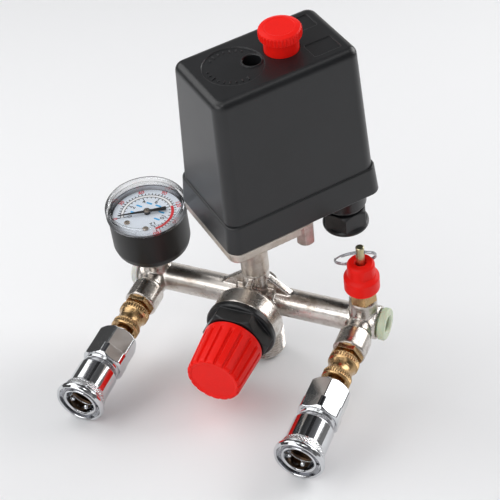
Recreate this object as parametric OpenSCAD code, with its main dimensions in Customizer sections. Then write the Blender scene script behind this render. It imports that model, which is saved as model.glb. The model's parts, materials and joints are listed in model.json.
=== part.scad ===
// Compressor pressure switch screwed on a five-way distribution manifold with a line
// gauge, a relief valve, a pressure regulator and two quick couplers on slide valves.
// Millimetres, +Z up. Origin: on the axis of the tank inlet, at the top of its thread.
// All heights below are measured from the axis of the cross tube (X), which meets the
// regulator (-Y) and the inlet and neck (Z) in the hub, hub_z above the origin.

/* [Manifold] */
// Outside diameter of the cross tube
tube_d = 14.3; // [12:0.1:18]
// Distance from the hub axis to each outlet axis
outlet_x = 55; // [48:0.5:65]
// Distance from the hub axis to each tube end face
tube_end = 63; // [60:0.5:75]
// Height of the gauge and relief valve bosses above the tube axis
boss_top = 14.9; // [12:0.1:18]
// Depth of the inlet below the tube axis
inlet_depth = 36.3; // [30:0.1:45]
// Major diameter of the tank thread
inlet_d = 20.96; // [16:0.01:27]
// Height of the joint between the manifold riser and the switch neck
neck_joint = 19.5; // [16:0.1:26]
// Outside diameter of the regulator barrel
barrel_d = 34; // [30:0.5:40]

/* [Switch housing] */
// Turn of the switch on its neck, seen from above
yaw = 51.4; // [0:0.1:90]
// Length of the base band at its lower edge
band_len = 80.6; // [70:0.5:95]
// Width of the base band at its lower edge
band_wid = 53; // [42:0.1:60]
// Underside of the plastic base above the tube axis
base_z = 58.7; // [50:0.1:75]
// Height of the plastic base band
band_h = 15.3; // [10:0.1:20]
// Height of the cover above the band
cover_h = 65.5; // [50:0.1:80]
// Length of the flat top of the cover
top_len = 71.6; // [60:0.5:85]
// Width of the flat top of the cover
top_wid = 42.2; // [34:0.1:52]
// Distance from the neck axis to the middle of the housing
housing_off = 17.9; // [0:0.5:22]
// Diameter of the on/off knob head
knob_d = 19.5; // [16:0.1:24]
// Travel of the on/off knob
knob_travel = 5; // [3:0.5:6]
// Diameter of the round flange on the cable gland nuts
gland_d = 22; // [18:0.5:23]

/* [Gauge] */
// Outside diameter of the gauge lens
gauge_d = 40; // [36:0.5:44]
// Height of the lens top above the tube axis
lens_top = 48.7; // [45:0.1:55]
// Bezel line between the case and the lens
case_top = 43.2; // [40:0.1:47]
// Underside of the gauge case
case_bottom = 19.2; // [17:0.1:24]
// Direction of the middle of the scale, from +X
dial_turn = 83; // [0:1:180]
// Direction of the pointer at rest, from +X
pointer_rest = 209.5; // [180:0.5:270]

/* [Relief valve] */
// Diameter of the collar of the red cap
cap_d = 17; // [15:0.1:20]
// Top of the cap above the tube axis
cap_top = 38.9; // [34:0.1:45]
// Top of the pull stem above the tube axis
stem_top = 48.6; // [44:0.1:55]
// Outside diameter of the split ring
pull_ring_d = 20.4; // [18:0.1:26]

/* [Regulator] */
// Distance from the hub to the front of the barrel
barrel_front = 22; // [20:0.1:26]
// Distance from the hub to the front of the knob
dial_front = 58.3; // [52:0.1:66]
// Number of finger slots round the knob
knob_slots = 24; // [12:2:36]

/* [Outlets] */
// Distance from the tube axis to the outlet boss faces
outlet_face = 23.3; // [20:0.1:28]
// Rear face of the coupler hexagon
coupler_back = 47; // [44:0.1:52]
// Front face of the couplers
coupler_front = 90.4; // [84:0.1:100]
// Width across flats of the coupler hexagon
coupler_af = 19.4; // [17:0.1:22]
// Outside diameter of the coupler sleeve lip
lip_d = 24.2; // [22:0.1:28]
// Number of locking balls in each coupler
ball_count = 6; // [4:1:8]

/* [Hidden] */
$fn = 64;
tube_r = tube_d / 2;
run = 0.05;                                  // radial clearance of every running fit
port_r = 4.8;                                // G1/8 spigots in the bosses
port_bore = port_r + run;
inlet_r = inlet_d / 2;
inlet_thread = 13.3;
hub_z = inlet_depth - inlet_thread;           // tube axis above the origin
barrel_r = barrel_d / 2;
stub_r = 5;
band_top = base_z + band_h;
cover_top = band_top + cover_h;
flange_t = 4.8;
flange_bottom = base_z - flange_t;
floor_t = 2;                                 // floor of the plastic base
floor_top = base_z + floor_t;
wall = 1.8;
hole_u = 11.3;                               // cover screw, measured from the neck axis
knob_u = 26.2;
gland_u = 45.5;
gland_w = 11.9;
gland_bottom = 34;
unloader_u = 18.6;
unloader_w = -20.4;
frame_t = 1.6;
frame_top = 112;
ring_z = stem_top - 3.4;                     // hole for the pull ring
ring_turn = 27;
tube_port_r = 4.05;                          // 8 mm plastic tube
collet_lip = 4.3;
collet_play = 0.8;
piston_top = base_z + 12;                    // shoulder under the range spring
spring_top = 98;
lever_u = 17;                                // lever pivot, from the neck axis
lever_z = piston_top + 2.5;
lever_under = lever_z - 1.3;
post_u = 32.6;                               // contact bridge, from the neck axis
screw_spots = [[-15, -17.5], [-15, 17.5], [9, -17.8], [18, 17.8]];
dial_screw_spread = 28;
mouth_r = 7.1;                               // plug bore of the couplers
ball_z = 85.5;
ball_phase = 30;
bonnet_front = 33;                           // just clear of the knob's rear rim
hex_turn = 21;                               // coupler hexagons, from the horizontal

// ---------------------------------------------------------------- helpers

// Local +Z runs forward (-Y) from the tube axis at distance x from the hub.
module forward(x = 0) {
    translate([x, 0, 0]) rotate([90, 0, 0]) children();
}

// Local +Z runs outward along the cross tube on the given side.
module outward(side) {
    rotate([0, 90 * side, 0]) children();
}

// Local frame of the switch: x along the housing, y across it.
module on_neck() {
    rotate([0, 0, yaw]) children();
}

module rod(r, z0, z1) {
    translate([0, 0, z0]) cylinder(r = r, h = z1 - z0);
}

module hex(af, z0, z1) {
    translate([0, 0, z0]) cylinder(d = af / cos(30), h = z1 - z0, $fn = 6);
}

// Solid of revolution from a list of [radius, z] points.
module turned(points) {
    rotate_extrude() polygon(points);
}

module tube(r_out, r_in, z0, z1) {
    turned([[r_in, z0], [r_out, z0], [r_out, z1], [r_in, z1]]);
}

// Band of straight teeth round a rod.
module toothed(r, depth, teeth, z0, z1) {
    points = [
        for (i = [0 : 2 * teeth - 1])
            let (rr = i % 2 == 0 ? r : r - depth, a = 180 * i / teeth)
            [rr * cos(a), rr * sin(a)]
    ];
    translate([0, 0, z0]) linear_extrude(height = z1 - z0) polygon(points);
}

// Round-wire spring of mean radius r between z0 and z1; wire is the wire's radius.
module coil(r, wire, turns, z0, z1) {
    steps = 12;
    pitch = (z1 - z0) / turns;
    section = [
        for (i = [0 : steps - 1])
            let (a = 360 * i / steps, rr = r + wire * cos(a), b = -360 * wire * sin(a) / pitch)
            [rr * cos(b), rr * sin(b)]
    ];
    translate([0, 0, z0])
        linear_extrude(height = z1 - z0, twist = -360 * turns, slices = 12 * turns, $fn = steps)
            polygon(section);
}

// Rounded rectangle standing on z0.
module slab(len, wid, r, z0, z1, fn = 48) {
    translate([0, 0, z0]) linear_extrude(height = z1 - z0) {
        square([len - 2 * r, wid], center = true);
        square([len, wid - 2 * r], center = true);
        for (sx = [-1, 1])
            for (sy = [-1, 1])
                translate([sx * (len / 2 - r), sy * (wid / 2 - r)]) circle(r = r, $fn = fn);
    }
}

// Tapered box with round upright corners; the top edge is rounded by ball corners.
module tapered(len0, wid0, z0, len1, wid1, z1, r0, r1, round_top) {
    hull() {
        for (sx = [-1, 1])
            for (sy = [-1, 1]) {
                translate([sx * (len0 / 2 - r0), sy * (wid0 / 2 - r0), z0])
                    cylinder(r = r0, h = 0.01, $fn = 32);
                translate([sx * (len1 / 2 - r1), sy * (wid1 / 2 - r1), z1 - (round_top ? r1 : 0.01)])
                    if (round_top) sphere(r = r1, $fn = 32);
                    else cylinder(r = r1, h = 0.01, $fn = 32);
            }
    }
}

// ---------------------------------------------------------------- manifold

module manifold_web(side) {
    rotate([90, 0, 0]) translate([0, 0, -2]) linear_extrude(height = 4)
        polygon([[side * 4, 5], [side * 19, 6.4], [side * 6, 16.5], [side * 4, 16.5]]);
}

// Rib from the neck down to the back of the regulator barrel.
module barrel_rib() {
    rotate([90, 0, -90]) translate([0, 0, -1.6]) linear_extrude(height = 3.2)
        polygon([[3, 6], [14, 6], [14, 15.5], [6, 18], [3, 18]]);
}

module outlet_boss() {
    intersection() {
        turned([
            [0, 0], [6.9, 0], [6.9, 10.6], [8.2, 12.2],
            [8.2, outlet_face - 0.5], [7.7, outlet_face], [0, outlet_face]
        ]);
        rotate([0, 0, 30]) hex(15.6, -1, outlet_face + 1);
    }
}

module manifold_skin() {
    outward(1) rod(tube_r, -tube_end, tube_end);
    for (side = [-1, 1]) {
        outward(side) turned([
            [0, outlet_x], [8.4, outlet_x], [8.4, tube_end - 0.4], [8, tube_end], [0, tube_end]
        ]);
        forward(side * outlet_x) outlet_boss();
        translate([side * outlet_x, 0, 0]) turned([
            [0, 0], [6.8, 0], [6.8, boss_top - 0.4], [6.4, boss_top], [0, boss_top]
        ]);
        manifold_web(side);
    }
    forward() turned([
        [0, -8.6], [7.9, -8.6], [8.5, -8], [8.5, -5.5], [10.6, -4.4], [10.6, 5.5], [15.8, 10.6],
        [barrel_r, 12.4], [barrel_r, barrel_front - 0.6], [barrel_r - 0.6, barrel_front],
        [0, barrel_front]
    ]);
    rod(6.6, 0, neck_joint);
    rod(stub_r, neck_joint - 1, neck_joint + 10);
    barrel_rib();
    rod(10.2, -hub_z, 9.2);
    turned([
        [0, -inlet_depth], [inlet_r - 1, -inlet_depth], [inlet_r, 1 - inlet_depth],
        [inlet_r, -hub_z], [0, -hub_z]
    ]);
}

module manifold_passages() {
    rod(6.5, -inlet_depth - 1, -12);
    rod(4.5, -12.5, 8);
    rod(3, 7, neck_joint + 11);
    forward() {
        rod(4.4, -6.4, 6);
        rod(2.2, 5, 11);
        rod(11, 10.5, 14.5);
        rod(13.5, 14, barrel_front + 1);
    }
    forward(-11) rod(1.6, 0, 11);
    translate([-tube_end - 1, 0, 0]) outward(1) rod(3, 0, tube_end - 10);
    outward(1) rod(3, 0, tube_end + 1);
    for (side = [-1, 1]) {
        outward(side) rod(5.4, tube_end - 5, tube_end + 1);
        forward(side * outlet_x) rod(port_bore, 11, outlet_face + 1);
        forward(side * outlet_x) rod(2.6, 0, 12);
        translate([side * outlet_x, 0, 0]) rod(port_bore, 5, boss_top + 1);
        translate([side * outlet_x, 0, 0]) rod(2.2, 0, 6);
    }
}

module manifold_body() {
    color("silver") difference() {
        manifold_skin();
        manifold_passages();
    }
}

module collet(side) {
    outward(side) difference() {
        union() {
            rod(5.4 - run, tube_end - 2.9, tube_end + collet_play + 0.1);
            turned([
                [0, tube_end + collet_play], [7.6, tube_end + collet_play],
                [8, tube_end + collet_play + 0.4], [8, tube_end + collet_lip - 0.6],
                [7.4, tube_end + collet_lip], [0, tube_end + collet_lip]
            ]);
        }
        rod(tube_port_r, tube_end - 5, tube_end + collet_lip + 1);
        turned([
            [0, tube_end + collet_lip - 0.6], [tube_port_r, tube_end + collet_lip - 0.6],
            [tube_port_r + 0.7, tube_end + collet_lip + 0.1], [0, tube_end + collet_lip + 0.1]
        ]);
        for (i = [0 : 2])
            rotate([0, 0, 60 * i]) translate([-6, -0.4, tube_end - 3.5]) cube([12, 0.8, 2.6]);
    }
}

module collet_left() {
    color("honeydew") collet(-1);
}

module collet_right() {
    color("honeydew") collet(1);
}

module tube_seals() {
    color("#202020") for (side = [-1, 1])
        outward(side) translate([0, 0, tube_end - 4.4])
            rotate_extrude() translate([4.75, 0]) circle(r = 0.6, $fn = 24);
}

// ---------------------------------------------------------------- gauge

module at_gauge() {
    translate([-outlet_x, 0, 0]) children();
}

module gauge_case() {
    r = gauge_d / 2 - 0.7;
    color("#1c1c1e") at_gauge() turned([
        [3.55, case_bottom], [r - 6, case_bottom], [r - 3, case_bottom + 0.9],
        [r - 0.9, case_bottom + 3.2], [r, case_bottom + 6.4], [r, case_top],
        [r - 1.1, case_top], [r - 1.1, case_bottom + 6.8], [r - 2.1, case_bottom + 3.9],
        [r - 3.8, case_bottom + 2.1], [r - 6.4, case_bottom + 1.2], [3.55, case_bottom + 1.2]
    ]);
}

module gauge_socket() {
    color("#c9a24e") at_gauge() difference() {
        union() {
            rod(port_r, 6, boss_top + 0.1);
            hex(11.8, boss_top, case_bottom);
            rod(3.5, case_bottom - 0.1, case_bottom + 3);
            translate([-5, -3.5, case_bottom + 1.2]) cube([10, 7, 8.8]);
            rotate([0, 0, -46]) translate([3, -1, case_bottom + 7.5]) cube([9.9, 2, 2.4]);
        }
        rod(1.2, 5, case_bottom + 8);
    }
}

module gauge_bourdon() {
    z = case_bottom + 6;
    color("#d8b25a") at_gauge() translate([0, 0, z])
        rotate([0, 0, -50]) rotate_extrude(angle = 265) translate([13, 0]) square([1.4, 6]);
}

module gauge_movement() {
    z0 = case_bottom + 10;
    color("#cdaa55") at_gauge() difference() {
        union() {
            for (z = [z0, z0 + 6.5])
                translate([-7, -4.5, z]) cube([14, 9, 1.2]);
            for (sx = [-1, 1])
                translate([5.4 * sx, 0, 0]) rod(1.3, z0, z0 + 7.6);
            for (a = [-dial_screw_spread, dial_screw_spread])
                rotate([0, 0, dial_turn + 180 + a]) {
                    translate([11.4, 0, 0]) rod(1.6, z0 + 6.5, case_top - 2.2);
                    translate([3, -1.4, z0 + 6.5]) cube([8.4, 2.8, 1.2]);
                }
        }
        rod(0.75 + run, z0 + 1, case_top);
        for (a = [-dial_screw_spread, dial_screw_spread])
            rotate([0, 0, dial_turn + 180 + a]) translate([11.4, 0, 0])
                rod(0.8, z0 + 8, case_top);
    }
}

module gauge_dial() {
    color("white") at_gauge() difference() {
        rod(17.2, case_top - 2.2, case_top - 1.6);
        rod(1.5, case_top - 3, case_top);
        for (a = [-dial_screw_spread, dial_screw_spread])
            rotate([0, 0, dial_turn + 180 + a]) translate([11.4, 0, 0])
                rod(0.95, case_top - 3, case_top);
    }
}

module dial_screws() {
    color("#c9a24e") at_gauge() for (a = [-dial_screw_spread, dial_screw_spread])
        rotate([0, 0, dial_turn + 180 + a]) translate([11.4, 0, 0]) difference() {
            union() {
                rod(0.78, case_top - 5, case_top - 1.5);
                rod(1.5, case_top - 1.6, case_top - 0.9);
            }
            translate([-2, -0.2, case_top - 1.2]) cube([4, 0.4, 1]);
        }
}

module gauge_pointer() {
    z = case_top - 0.5;
    color("#101010") at_gauge() {
        rotate([0, 0, pointer_rest]) difference() {
            translate([0, 0, z]) linear_extrude(height = 0.4)
                polygon([[14.4, -0.15], [14.4, 0.15], [2, 0.7], [-3, 0.8], [-9.4, 1.3],
                    [-9.4, -1.3], [-3, -0.8], [2, -0.7]]);
            rod(0.5, z - 1, z + 1);
        }
        rod(1.6, z - 0.5, z + 0.9);
        rod(0.75, case_bottom + 11.4, z);
    }
}

module gauge_lens() {
    r = gauge_d / 2;
    color("lightcyan", 0.5) at_gauge() turned([
        [0, lens_top - 1.6], [r - 2.2, lens_top - 1.6], [r - 2.2, case_top - 2],
        [r - 1.85, case_top - 2], [r - 1.85, case_top], [r, case_top],
        [r, lens_top - 1.2], [r - 0.6, lens_top], [r - 1.6, lens_top],
        [r - 1.9, lens_top - 0.4], [0, lens_top - 0.4]
    ]);
}

// ---------------------------------------------------------------- relief valve

module at_relief() {
    translate([outlet_x, 0, 0]) children();
}

module relief_body() {
    color("#c9a24e") at_relief() difference() {
        union() {
            rod(port_r, 6, boss_top + 0.1);
            hex(12, boss_top, boss_top + 6.9);
            rod(5.6, boss_top + 6, boss_top + 14);
        }
        rod(1.6, 5, 18);
        rod(3.9, 17, boss_top + 15);
    }
}

module relief_cap() {
    r = cap_d / 2;
    collar_z = boss_top + 7.4;
    color("#e5231b") at_relief() difference() {
        turned([
            [0, collar_z], [r - 0.5, collar_z], [r, collar_z + 0.5],
            [r, collar_z + 7.8], [r - 0.7, collar_z + 8.5], [6.9, collar_z + 8.9],
            [6.7, collar_z + 9.3], [6.6, cap_top - 1], [5.8, cap_top], [0, cap_top]
        ]);
        rod(5.65, collar_z - 1, boss_top + 14.3);
        rod(4, boss_top + 14, cap_top - 2.4);
        rod(2.08, cap_top - 3, cap_top + 1);
        turned([[0, cap_top - 0.9], [2.2, cap_top - 0.9], [2.9, cap_top + 0.1], [0, cap_top + 0.1]]);
    }
}

module relief_stem() {
    color("#cdbb5a") at_relief() difference() {
        union() {
            rod(3.4, 17, 19);
            rod(1.2, 14.5, 17.1);
            rod(2, 18.9, stem_top - 0.3);
            turned([[0, stem_top - 0.4], [2, stem_top - 0.4], [1.65, stem_top], [0, stem_top]]);
        }
        translate([0, 0, ring_z]) rotate([0, 0, ring_turn]) rotate([0, 90, 0])
            cylinder(r = 1.22, h = 6, center = true);
    }
}

module relief_spring() {
    color("#9a9a9a") at_relief() coil(3.05, 0.5, 5, 19, cap_top - 2.4);
}

module relief_ring() {
    wire = 0.6;
    r = pull_ring_d / 2 - wire;
    color("#b8b8b8") at_relief() translate([0, 0, ring_z])
        rotate([0, 0, ring_turn]) rotate([-59, 0, 0]) rotate([0, 0, 12]) translate([0, r, 0])
            rotate_extrude() translate([r, 0]) circle(r = wire, $fn = 24);
}

// ---------------------------------------------------------------- regulator

module regulator_bonnet() {
    color("#18181a") forward() difference() {
        union() {
            rod(13.45, 15.2, barrel_front + 0.1);
            turned([
                [0, barrel_front], [17.4, barrel_front], [17.7, barrel_front + 0.3],
                [17.7, barrel_front + 2.6], [17.1, barrel_front + 3.4], [0, barrel_front + 3.4]
            ]);
            intersection() {
                hex(30, barrel_front + 3, 32.6);
                turned([[0, 20], [18, 20], [18, 31.2], [16, 32.6], [0, 32.6]]);
            }
            rod(9.8, 32, bonnet_front);
        }
        rod(11, 14, 25.5);
        hex(14.9, 25, 31.6);
        rod(3.05, 31, 34);
    }
}

module knob_slot(i) {
    taper = atan(1.6 / (dial_front - 35));
    rotate([0, 0, 360 * i / knob_slots]) translate([15.35, 0, 35.6]) rotate([0, -taper, 0])
        cylinder(r = 1.25, h = dial_front - 34, $fn = 24);
}

module regulator_knob() {
    color("#e02418") forward() difference() {
        turned([
            [0, 33.2], [14.6, 33.2], [15, 33.6], [13.5, dial_front - 1.6],
            [12.6, dial_front - 0.5], [11.6, dial_front], [11.2, dial_front],
            [11, dial_front - 0.4], [0, dial_front - 0.4]
        ]);
        rod(11.2, 32, 43);
        hex(8.1, 42, 50);
        for (i = [0 : knob_slots - 1])
            knob_slot(i);
    }
}

module regulator_screw() {
    color("#8f8f93") forward() {
        rod(2.95, 21, bonnet_front + 0.1);
        rod(4.4, 30.7, 31.55);
        hex(8, bonnet_front + 0.1, 49);
    }
}

module regulator_nut() {
    color("#a7a7aa") forward() difference() {
        union() {
            hex(14.7, 27.4, 30.5);
            rod(5.2, 25, 27.5);
        }
        rod(3, 24, 31);
    }
}

module regulator_spring() {
    color("#9a9a9a") forward() coil(6.5, 0.7, 4, 17, 27.4);
}

module regulator_diaphragm() {
    color("#26262a") forward() {
        rod(13.4, 14, 15.2);
        turned([[0, 15.2], [9, 15.2], [9, 17], [5.2, 17], [5.2, 19], [0, 19]]);
    }
}

module regulator_poppet() {
    color("#c9a24e") forward() {
        rod(1.2, -3, 14);
        turned([[0, 3.4], [3.2, 3.4], [3.2, 5.4], [2.9, 6], [0, 6]]);
    }
}

module poppet_spring() {
    color("#9a9a9a") forward() coil(2.2, 0.3, 5, -6.4, 3.4);
}

// ---------------------------------------------------------------- outlets

module valve_body(x) {
    color("#c9a24e") forward(x) difference() {
        union() {
            rod(port_r, 13, outlet_face + 0.1);
            hex(13.6, outlet_face, 25.8);
            rod(4.2, 25.7, coupler_back + 0.1);
            rod(port_r, coupler_back, 56);
        }
        rod(1.8, 12, 33);
        rod(1.8, 36, 57);
        for (s = [31, 38.4])
            translate([0, 0, s]) rotate([90, 0, 0]) cylinder(r = 1.1, h = 12, center = true);
        translate([0, 0, 44.2]) rotate([-90, 0, 0]) cylinder(r = 1.1, h = 6);
    }
}

module valve_body_left() {
    valve_body(-outlet_x);
}

module valve_body_right() {
    valve_body(outlet_x);
}

module valve_sleeve(x) {
    color("#d0a548") forward(x) difference() {
        union() {
            turned([
                [0, 27.6], [6.7, 27.6], [7.1, 28.2], [7.1, 31], [6.6, 31.8], [6.1, 33.2],
                [5.95, 34.6], [6.1, 36], [6.5, 37.2], [6.7, 38], [6.7, 41.2],
                [6.3, 41.8], [0, 41.8]
            ]);
            toothed(7.5, 0.35, 40, 28.4, 30.8);
            toothed(7.1, 0.35, 40, 38.3, 40.9);
        }
        rod(4.2 + run, 27, 42);
        tube(5, 4, 30, 38.8);
        rod(5.7, 40.2, 42);
    }
}

module valve_sleeve_left() {
    valve_sleeve(-outlet_x);
}

module valve_sleeve_right() {
    valve_sleeve(outlet_x);
}

module coupler_body(x) {
    front = coupler_front - 0.6;
    color("#cfd2d6") forward(x) difference() {
        union() {
            intersection() {
                rotate([0, 0, hex_turn]) {
                    hex(coupler_af - 1.2, coupler_back, 59);
                    hex(coupler_af, 58.4, 66);
                }
                turned([
                    [0, coupler_back], [9.3, coupler_back], [10.6, coupler_back + 1.6],
                    [10.6, 65], [9.6, 66], [0, 66]
                ]);
            }
            turned([
                [0, 65.9], [8.9, 65.9], [8.7, 67.2], [7.7, 68], [7.7, 78], [8.4, 78.4],
                [8.4, front - 0.4], [8, front], [0, front]
            ]);
        }
        rod(port_bore, coupler_back - 1, 56);
        rod(2.6, 55, 60);
        rod(5.8, 58, 72);
        rod(5.4 + run, 71, 80);
        rod(mouth_r, 79.5, front + 1);
        rod(mouth_r + 0.2, ball_z - 1.4, ball_z + 1.5);
        turned([
            [0, front - 0.5], [mouth_r, front - 0.5], [mouth_r + 0.55, front + 0.05], [0, front + 0.05]
        ]);
        tube(9, 7.95, front - 1.9, front - 0.9);
        for (i = [0 : ball_count - 1])
            rotate([0, 0, 360 * i / ball_count + ball_phase]) translate([0, 0, ball_z])
                rotate([0, 90, 0]) cylinder(r = 1.3, h = 10, $fn = 24);
    }
}

module coupler_body_left() {
    coupler_body(-outlet_x);
}

module coupler_body_right() {
    coupler_body(outlet_x);
}

module coupler_sleeve(x) {
    lip = lip_d / 2;
    color("#dfe2e6") forward(x) difference() {
        union() {
            turned([
                [0, 70], [9.3, 70], [9.8, 70.5], [9.8, 82.6], [10.2, 83], [11, 85.6],
                [11.1, 86.2], [11, 86.5], [11.4, 87], [lip, 87.6],
                [lip, coupler_front - 1], [lip - 0.8, coupler_front], [0, coupler_front]
            ]);
            toothed(11.2, 0.45, 44, 83.6, 85.8);
        }
        rod(9.1, 69, 77.5);
        rod(8.4 + run, 77, 88);
        rod(10.4, 87.9, coupler_front + 1);
    }
}

module coupler_sleeve_left() {
    coupler_sleeve(-outlet_x);
}

module coupler_sleeve_right() {
    coupler_sleeve(outlet_x);
}

module sleeve_spring_left() {
    color("#9a9a9a") forward(-outlet_x) coil(8.75, 0.3, 4, 68, 77.5);
}

module sleeve_spring_right() {
    color("#9a9a9a") forward(outlet_x) coil(8.75, 0.3, 4, 68, 77.5);
}

module coupler_poppet(x) {
    color("#c98f3e") forward(x) difference() {
        union() {
            rod(5.4, 71.9, 81.5);
            rod(5.7, 69.6, 71.95);
            rod(2.2, 64, 70);
        }
        rod(3.8, 78, 82);
    }
}

module coupler_poppet_left() {
    coupler_poppet(-outlet_x);
}

module coupler_poppet_right() {
    coupler_poppet(outlet_x);
}

module coupler_spring_left() {
    color("#9a9a9a") forward(-outlet_x) coil(4.6, 0.4, 4, 60, 69.6);
}

module coupler_spring_right() {
    color("#9a9a9a") forward(outlet_x) coil(4.6, 0.4, 4, 60, 69.6);
}

module coupler_balls() {
    color("#e8e8ea") for (side = [-1, 1])
        forward(side * outlet_x) for (i = [0 : ball_count - 1])
            rotate([0, 0, 360 * i / ball_count + ball_phase])
                translate([mouth_r + 0.1, 0, ball_z]) sphere(r = 1.2, $fn = 32);
}

module coupler_clips() {
    front = coupler_front - 0.6;
    color("#77797c") for (side = [-1, 1])
        forward(side * outlet_x) difference() {
            tube(9.35, 7.97, front - 1.85, front - 0.95);
            translate([0, -0.8, front - 2]) cube([12, 1.6, 2]);
        }
}

// ---------------------------------------------------------------- switch

module housing() {
    on_neck() translate([housing_off, 0, 0]) children();
}

module switch_flange() {
    u0 = housing_off - band_len / 2 + 0.5;
    u1 = 23;
    color("#c4c2be") on_neck() difference() {
        union() {
            translate([(u0 + u1) / 2, 0, 0])
                slab(u1 - u0, band_wid - 0.8, 5, flange_bottom, base_z);
            turned([
                [0, neck_joint], [6.9, neck_joint], [6.9, 34], [15.5, flange_bottom + 0.1],
                [0, flange_bottom + 0.1]
            ]);
        }
        rod(stub_r + run, neck_joint - 1, neck_joint + 12);
        rod(3, neck_joint + 11, base_z);
        rod(15, base_z - 3, base_z + 1);
        rod(17.6, base_z - 1.4, base_z + 1);
        translate([unloader_u, unloader_w, 0]) {
            rod(4.8, flange_bottom - 1, base_z - 1.5);
            rod(2, flange_bottom, base_z + 1);
            translate([-4.8, -8, flange_bottom - 1]) cube([9.6, 8, flange_t - 0.5]);
        }
        for (p = screw_spots)
            translate([p[0], p[1], 0]) rod(1.6, flange_bottom - 1, base_z + 1);
    }
}

module flange_screws() {
    color("#8b8d90") on_neck() for (p = screw_spots)
        translate([p[0], p[1], 0]) difference() {
            union() {
                rod(1.55, flange_bottom, floor_top + frame_t + 0.1);
                rod(2.35, floor_top + frame_t, floor_top + frame_t + 2);
            }
            translate([-3, -0.4, floor_top + frame_t + 1.2]) cube([6, 0.8, 2]);
        }
}

module gland_boss(side) {
    translate([gland_u - housing_off, side * gland_w, 0]) {
        turned([
            [0, base_z + 0.5], [10.8, base_z + 0.5], [10.6, 49], [10, 47.6], [8.5, 47],
            [8.5, 38.5], [0, 38.5]
        ]);
    }
}

module switch_base() {
    color("#1d1d20") housing() difference() {
        union() {
            tapered(band_len, band_wid, base_z, band_len - 2, band_wid - 2.2, band_top,
                5.4, 5.4, false);
            for (side = [-1, 1])
                gland_boss(side);
        }
        tapered(band_len - 2 * wall - 1, band_wid - 2 * wall - 1, floor_top,
            band_len - 2 * wall - 2.6, band_wid - 2 * wall - 2.8, band_top + 0.1, 4, 4, false);
        translate([-housing_off, 0, 0]) {
            rod(15, base_z - 1, floor_top + 1);
            translate([unloader_u, unloader_w, 0]) rod(1.3, base_z - 1, floor_top + 1);
            for (p = screw_spots)
                translate([p[0], p[1], 0]) rod(1.6, base_z - 1, floor_top + 1);
        }
        for (side = [-1, 1])
            translate([gland_u - housing_off, side * gland_w, 0]) rod(6.6, 38, floor_top + 1);
    }
}

module cover_shell() {
    skirt_l = band_len - 3.6;
    skirt_w = band_wid - 3.8;
    difference() {
        tapered(skirt_l, skirt_w, band_top, top_len, top_wid, cover_top, 5.2, 4.2, true);
        tapered(skirt_l - 2 * wall, skirt_w - 2 * wall, band_top - 0.1,
            top_len - 2 * wall, top_wid - 2 * wall, cover_top - wall, 4, 3, true);
    }
}

module switch_cover() {
    color("#1b1b1e") housing() difference() {
        union() {
            cover_shell();
            translate([-housing_off, 0, 0]) {
                translate([hole_u, 0, 0]) rod(6, frame_top + frame_t, cover_top - 1);
                translate([knob_u, 0, 0]) rod(9.4, cover_top - 12, cover_top - 1);
            }
        }
        translate([-housing_off, 0, 0]) {
            translate([hole_u, 0, 0]) {
                rod(4.1, frame_top + frame_t + 3, cover_top + 1);
                rod(2.1, frame_top, cover_top);
            }
            translate([knob_u, 0, 0]) rod(7.9 + run, cover_top - 13, cover_top + 1);
            translate([2.6, 1.2, 0]) difference() {
                rod(13.9, cover_top - 0.45, cover_top + 1);
                translate([hole_u - 2.6, -1.2, 0]) rod(5, cover_top - 1, cover_top + 2);
            }
            for (w = [-9.7, 10.4])
                translate([41.2, w, 0]) slab(13.4, 10, 0.8, cover_top - 0.35, cover_top + 1);
        }
    }
}

module cover_screw() {
    color("#7d7f82") on_neck() translate([hole_u, 0, 0]) difference() {
        union() {
            rod(1.95, frame_top - 6, frame_top + frame_t + 3.1);
            rod(3.5, frame_top + frame_t + 3, frame_top + frame_t + 6);
        }
        translate([-4, -0.5, frame_top + frame_t + 4.6]) cube([8, 1, 2]);
        translate([-0.5, -4, frame_top + frame_t + 4.6]) cube([1, 8, 2]);
    }
}

module on_off_knob() {
    r = knob_d / 2;
    head = cover_top + 6.3;
    top = cover_top + 11.3;
    color("#e2261a") on_neck() translate([knob_u, 0, 0]) union() {
        rod(7.9, cover_top - 10, head + 0.1);
        turned([
            [0, head], [r - 1.3, head], [r - 0.3, head + 0.5], [r - 0.3, top - 2.2],
            [r - 1.2, top - 0.7], [r - 2.6, top], [r - 3, top - 0.25], [0, top - 0.25]
        ]);
        toothed(r, 0.45, 40, head + 0.7, head + 2.9);
        rod(3, frame_top + frame_t + knob_travel + 0.2, cover_top - 9.9);
    }
}

module switch_frame() {
    color("#9b9da1") on_neck() difference() {
        union() {
            translate([0.8, 0, 0]) slab(40.4, 42, 5, floor_top, floor_top + frame_t);
            for (sy = [-1, 1])
                translate([-12, sy * 14.5 - frame_t / 2, floor_top])
                    cube([33, frame_t, frame_top + frame_t - floor_top]);
            translate([-12, -14.5, frame_top]) cube([46, 29, frame_t]);
            translate([hole_u, 0, 0]) rod(4, frame_top - 5, frame_top + 0.1);
        }
        rod(14.5, floor_top - 1, floor_top + frame_t + 1);
        rod(3.1, frame_top - 1, frame_top + frame_t + 1);
        translate([hole_u, 0, 0]) rod(2, frame_top - 7, frame_top + frame_t + 1);
        translate([unloader_u, unloader_w, 0]) rod(1.7, floor_top - 1, floor_top + 3);
        for (p = screw_spots)
            translate([p[0], p[1], 0]) rod(1.6, floor_top - 1, floor_top + 3);
        translate([lever_u, 0, lever_z]) rotate([90, 0, 0])
            cylinder(r = 1.3 + run, h = 40, center = true);
    }
}

module switch_diaphragm() {
    color("#303036") on_neck() rod(17.5, base_z - 1.4, base_z);
}

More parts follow.
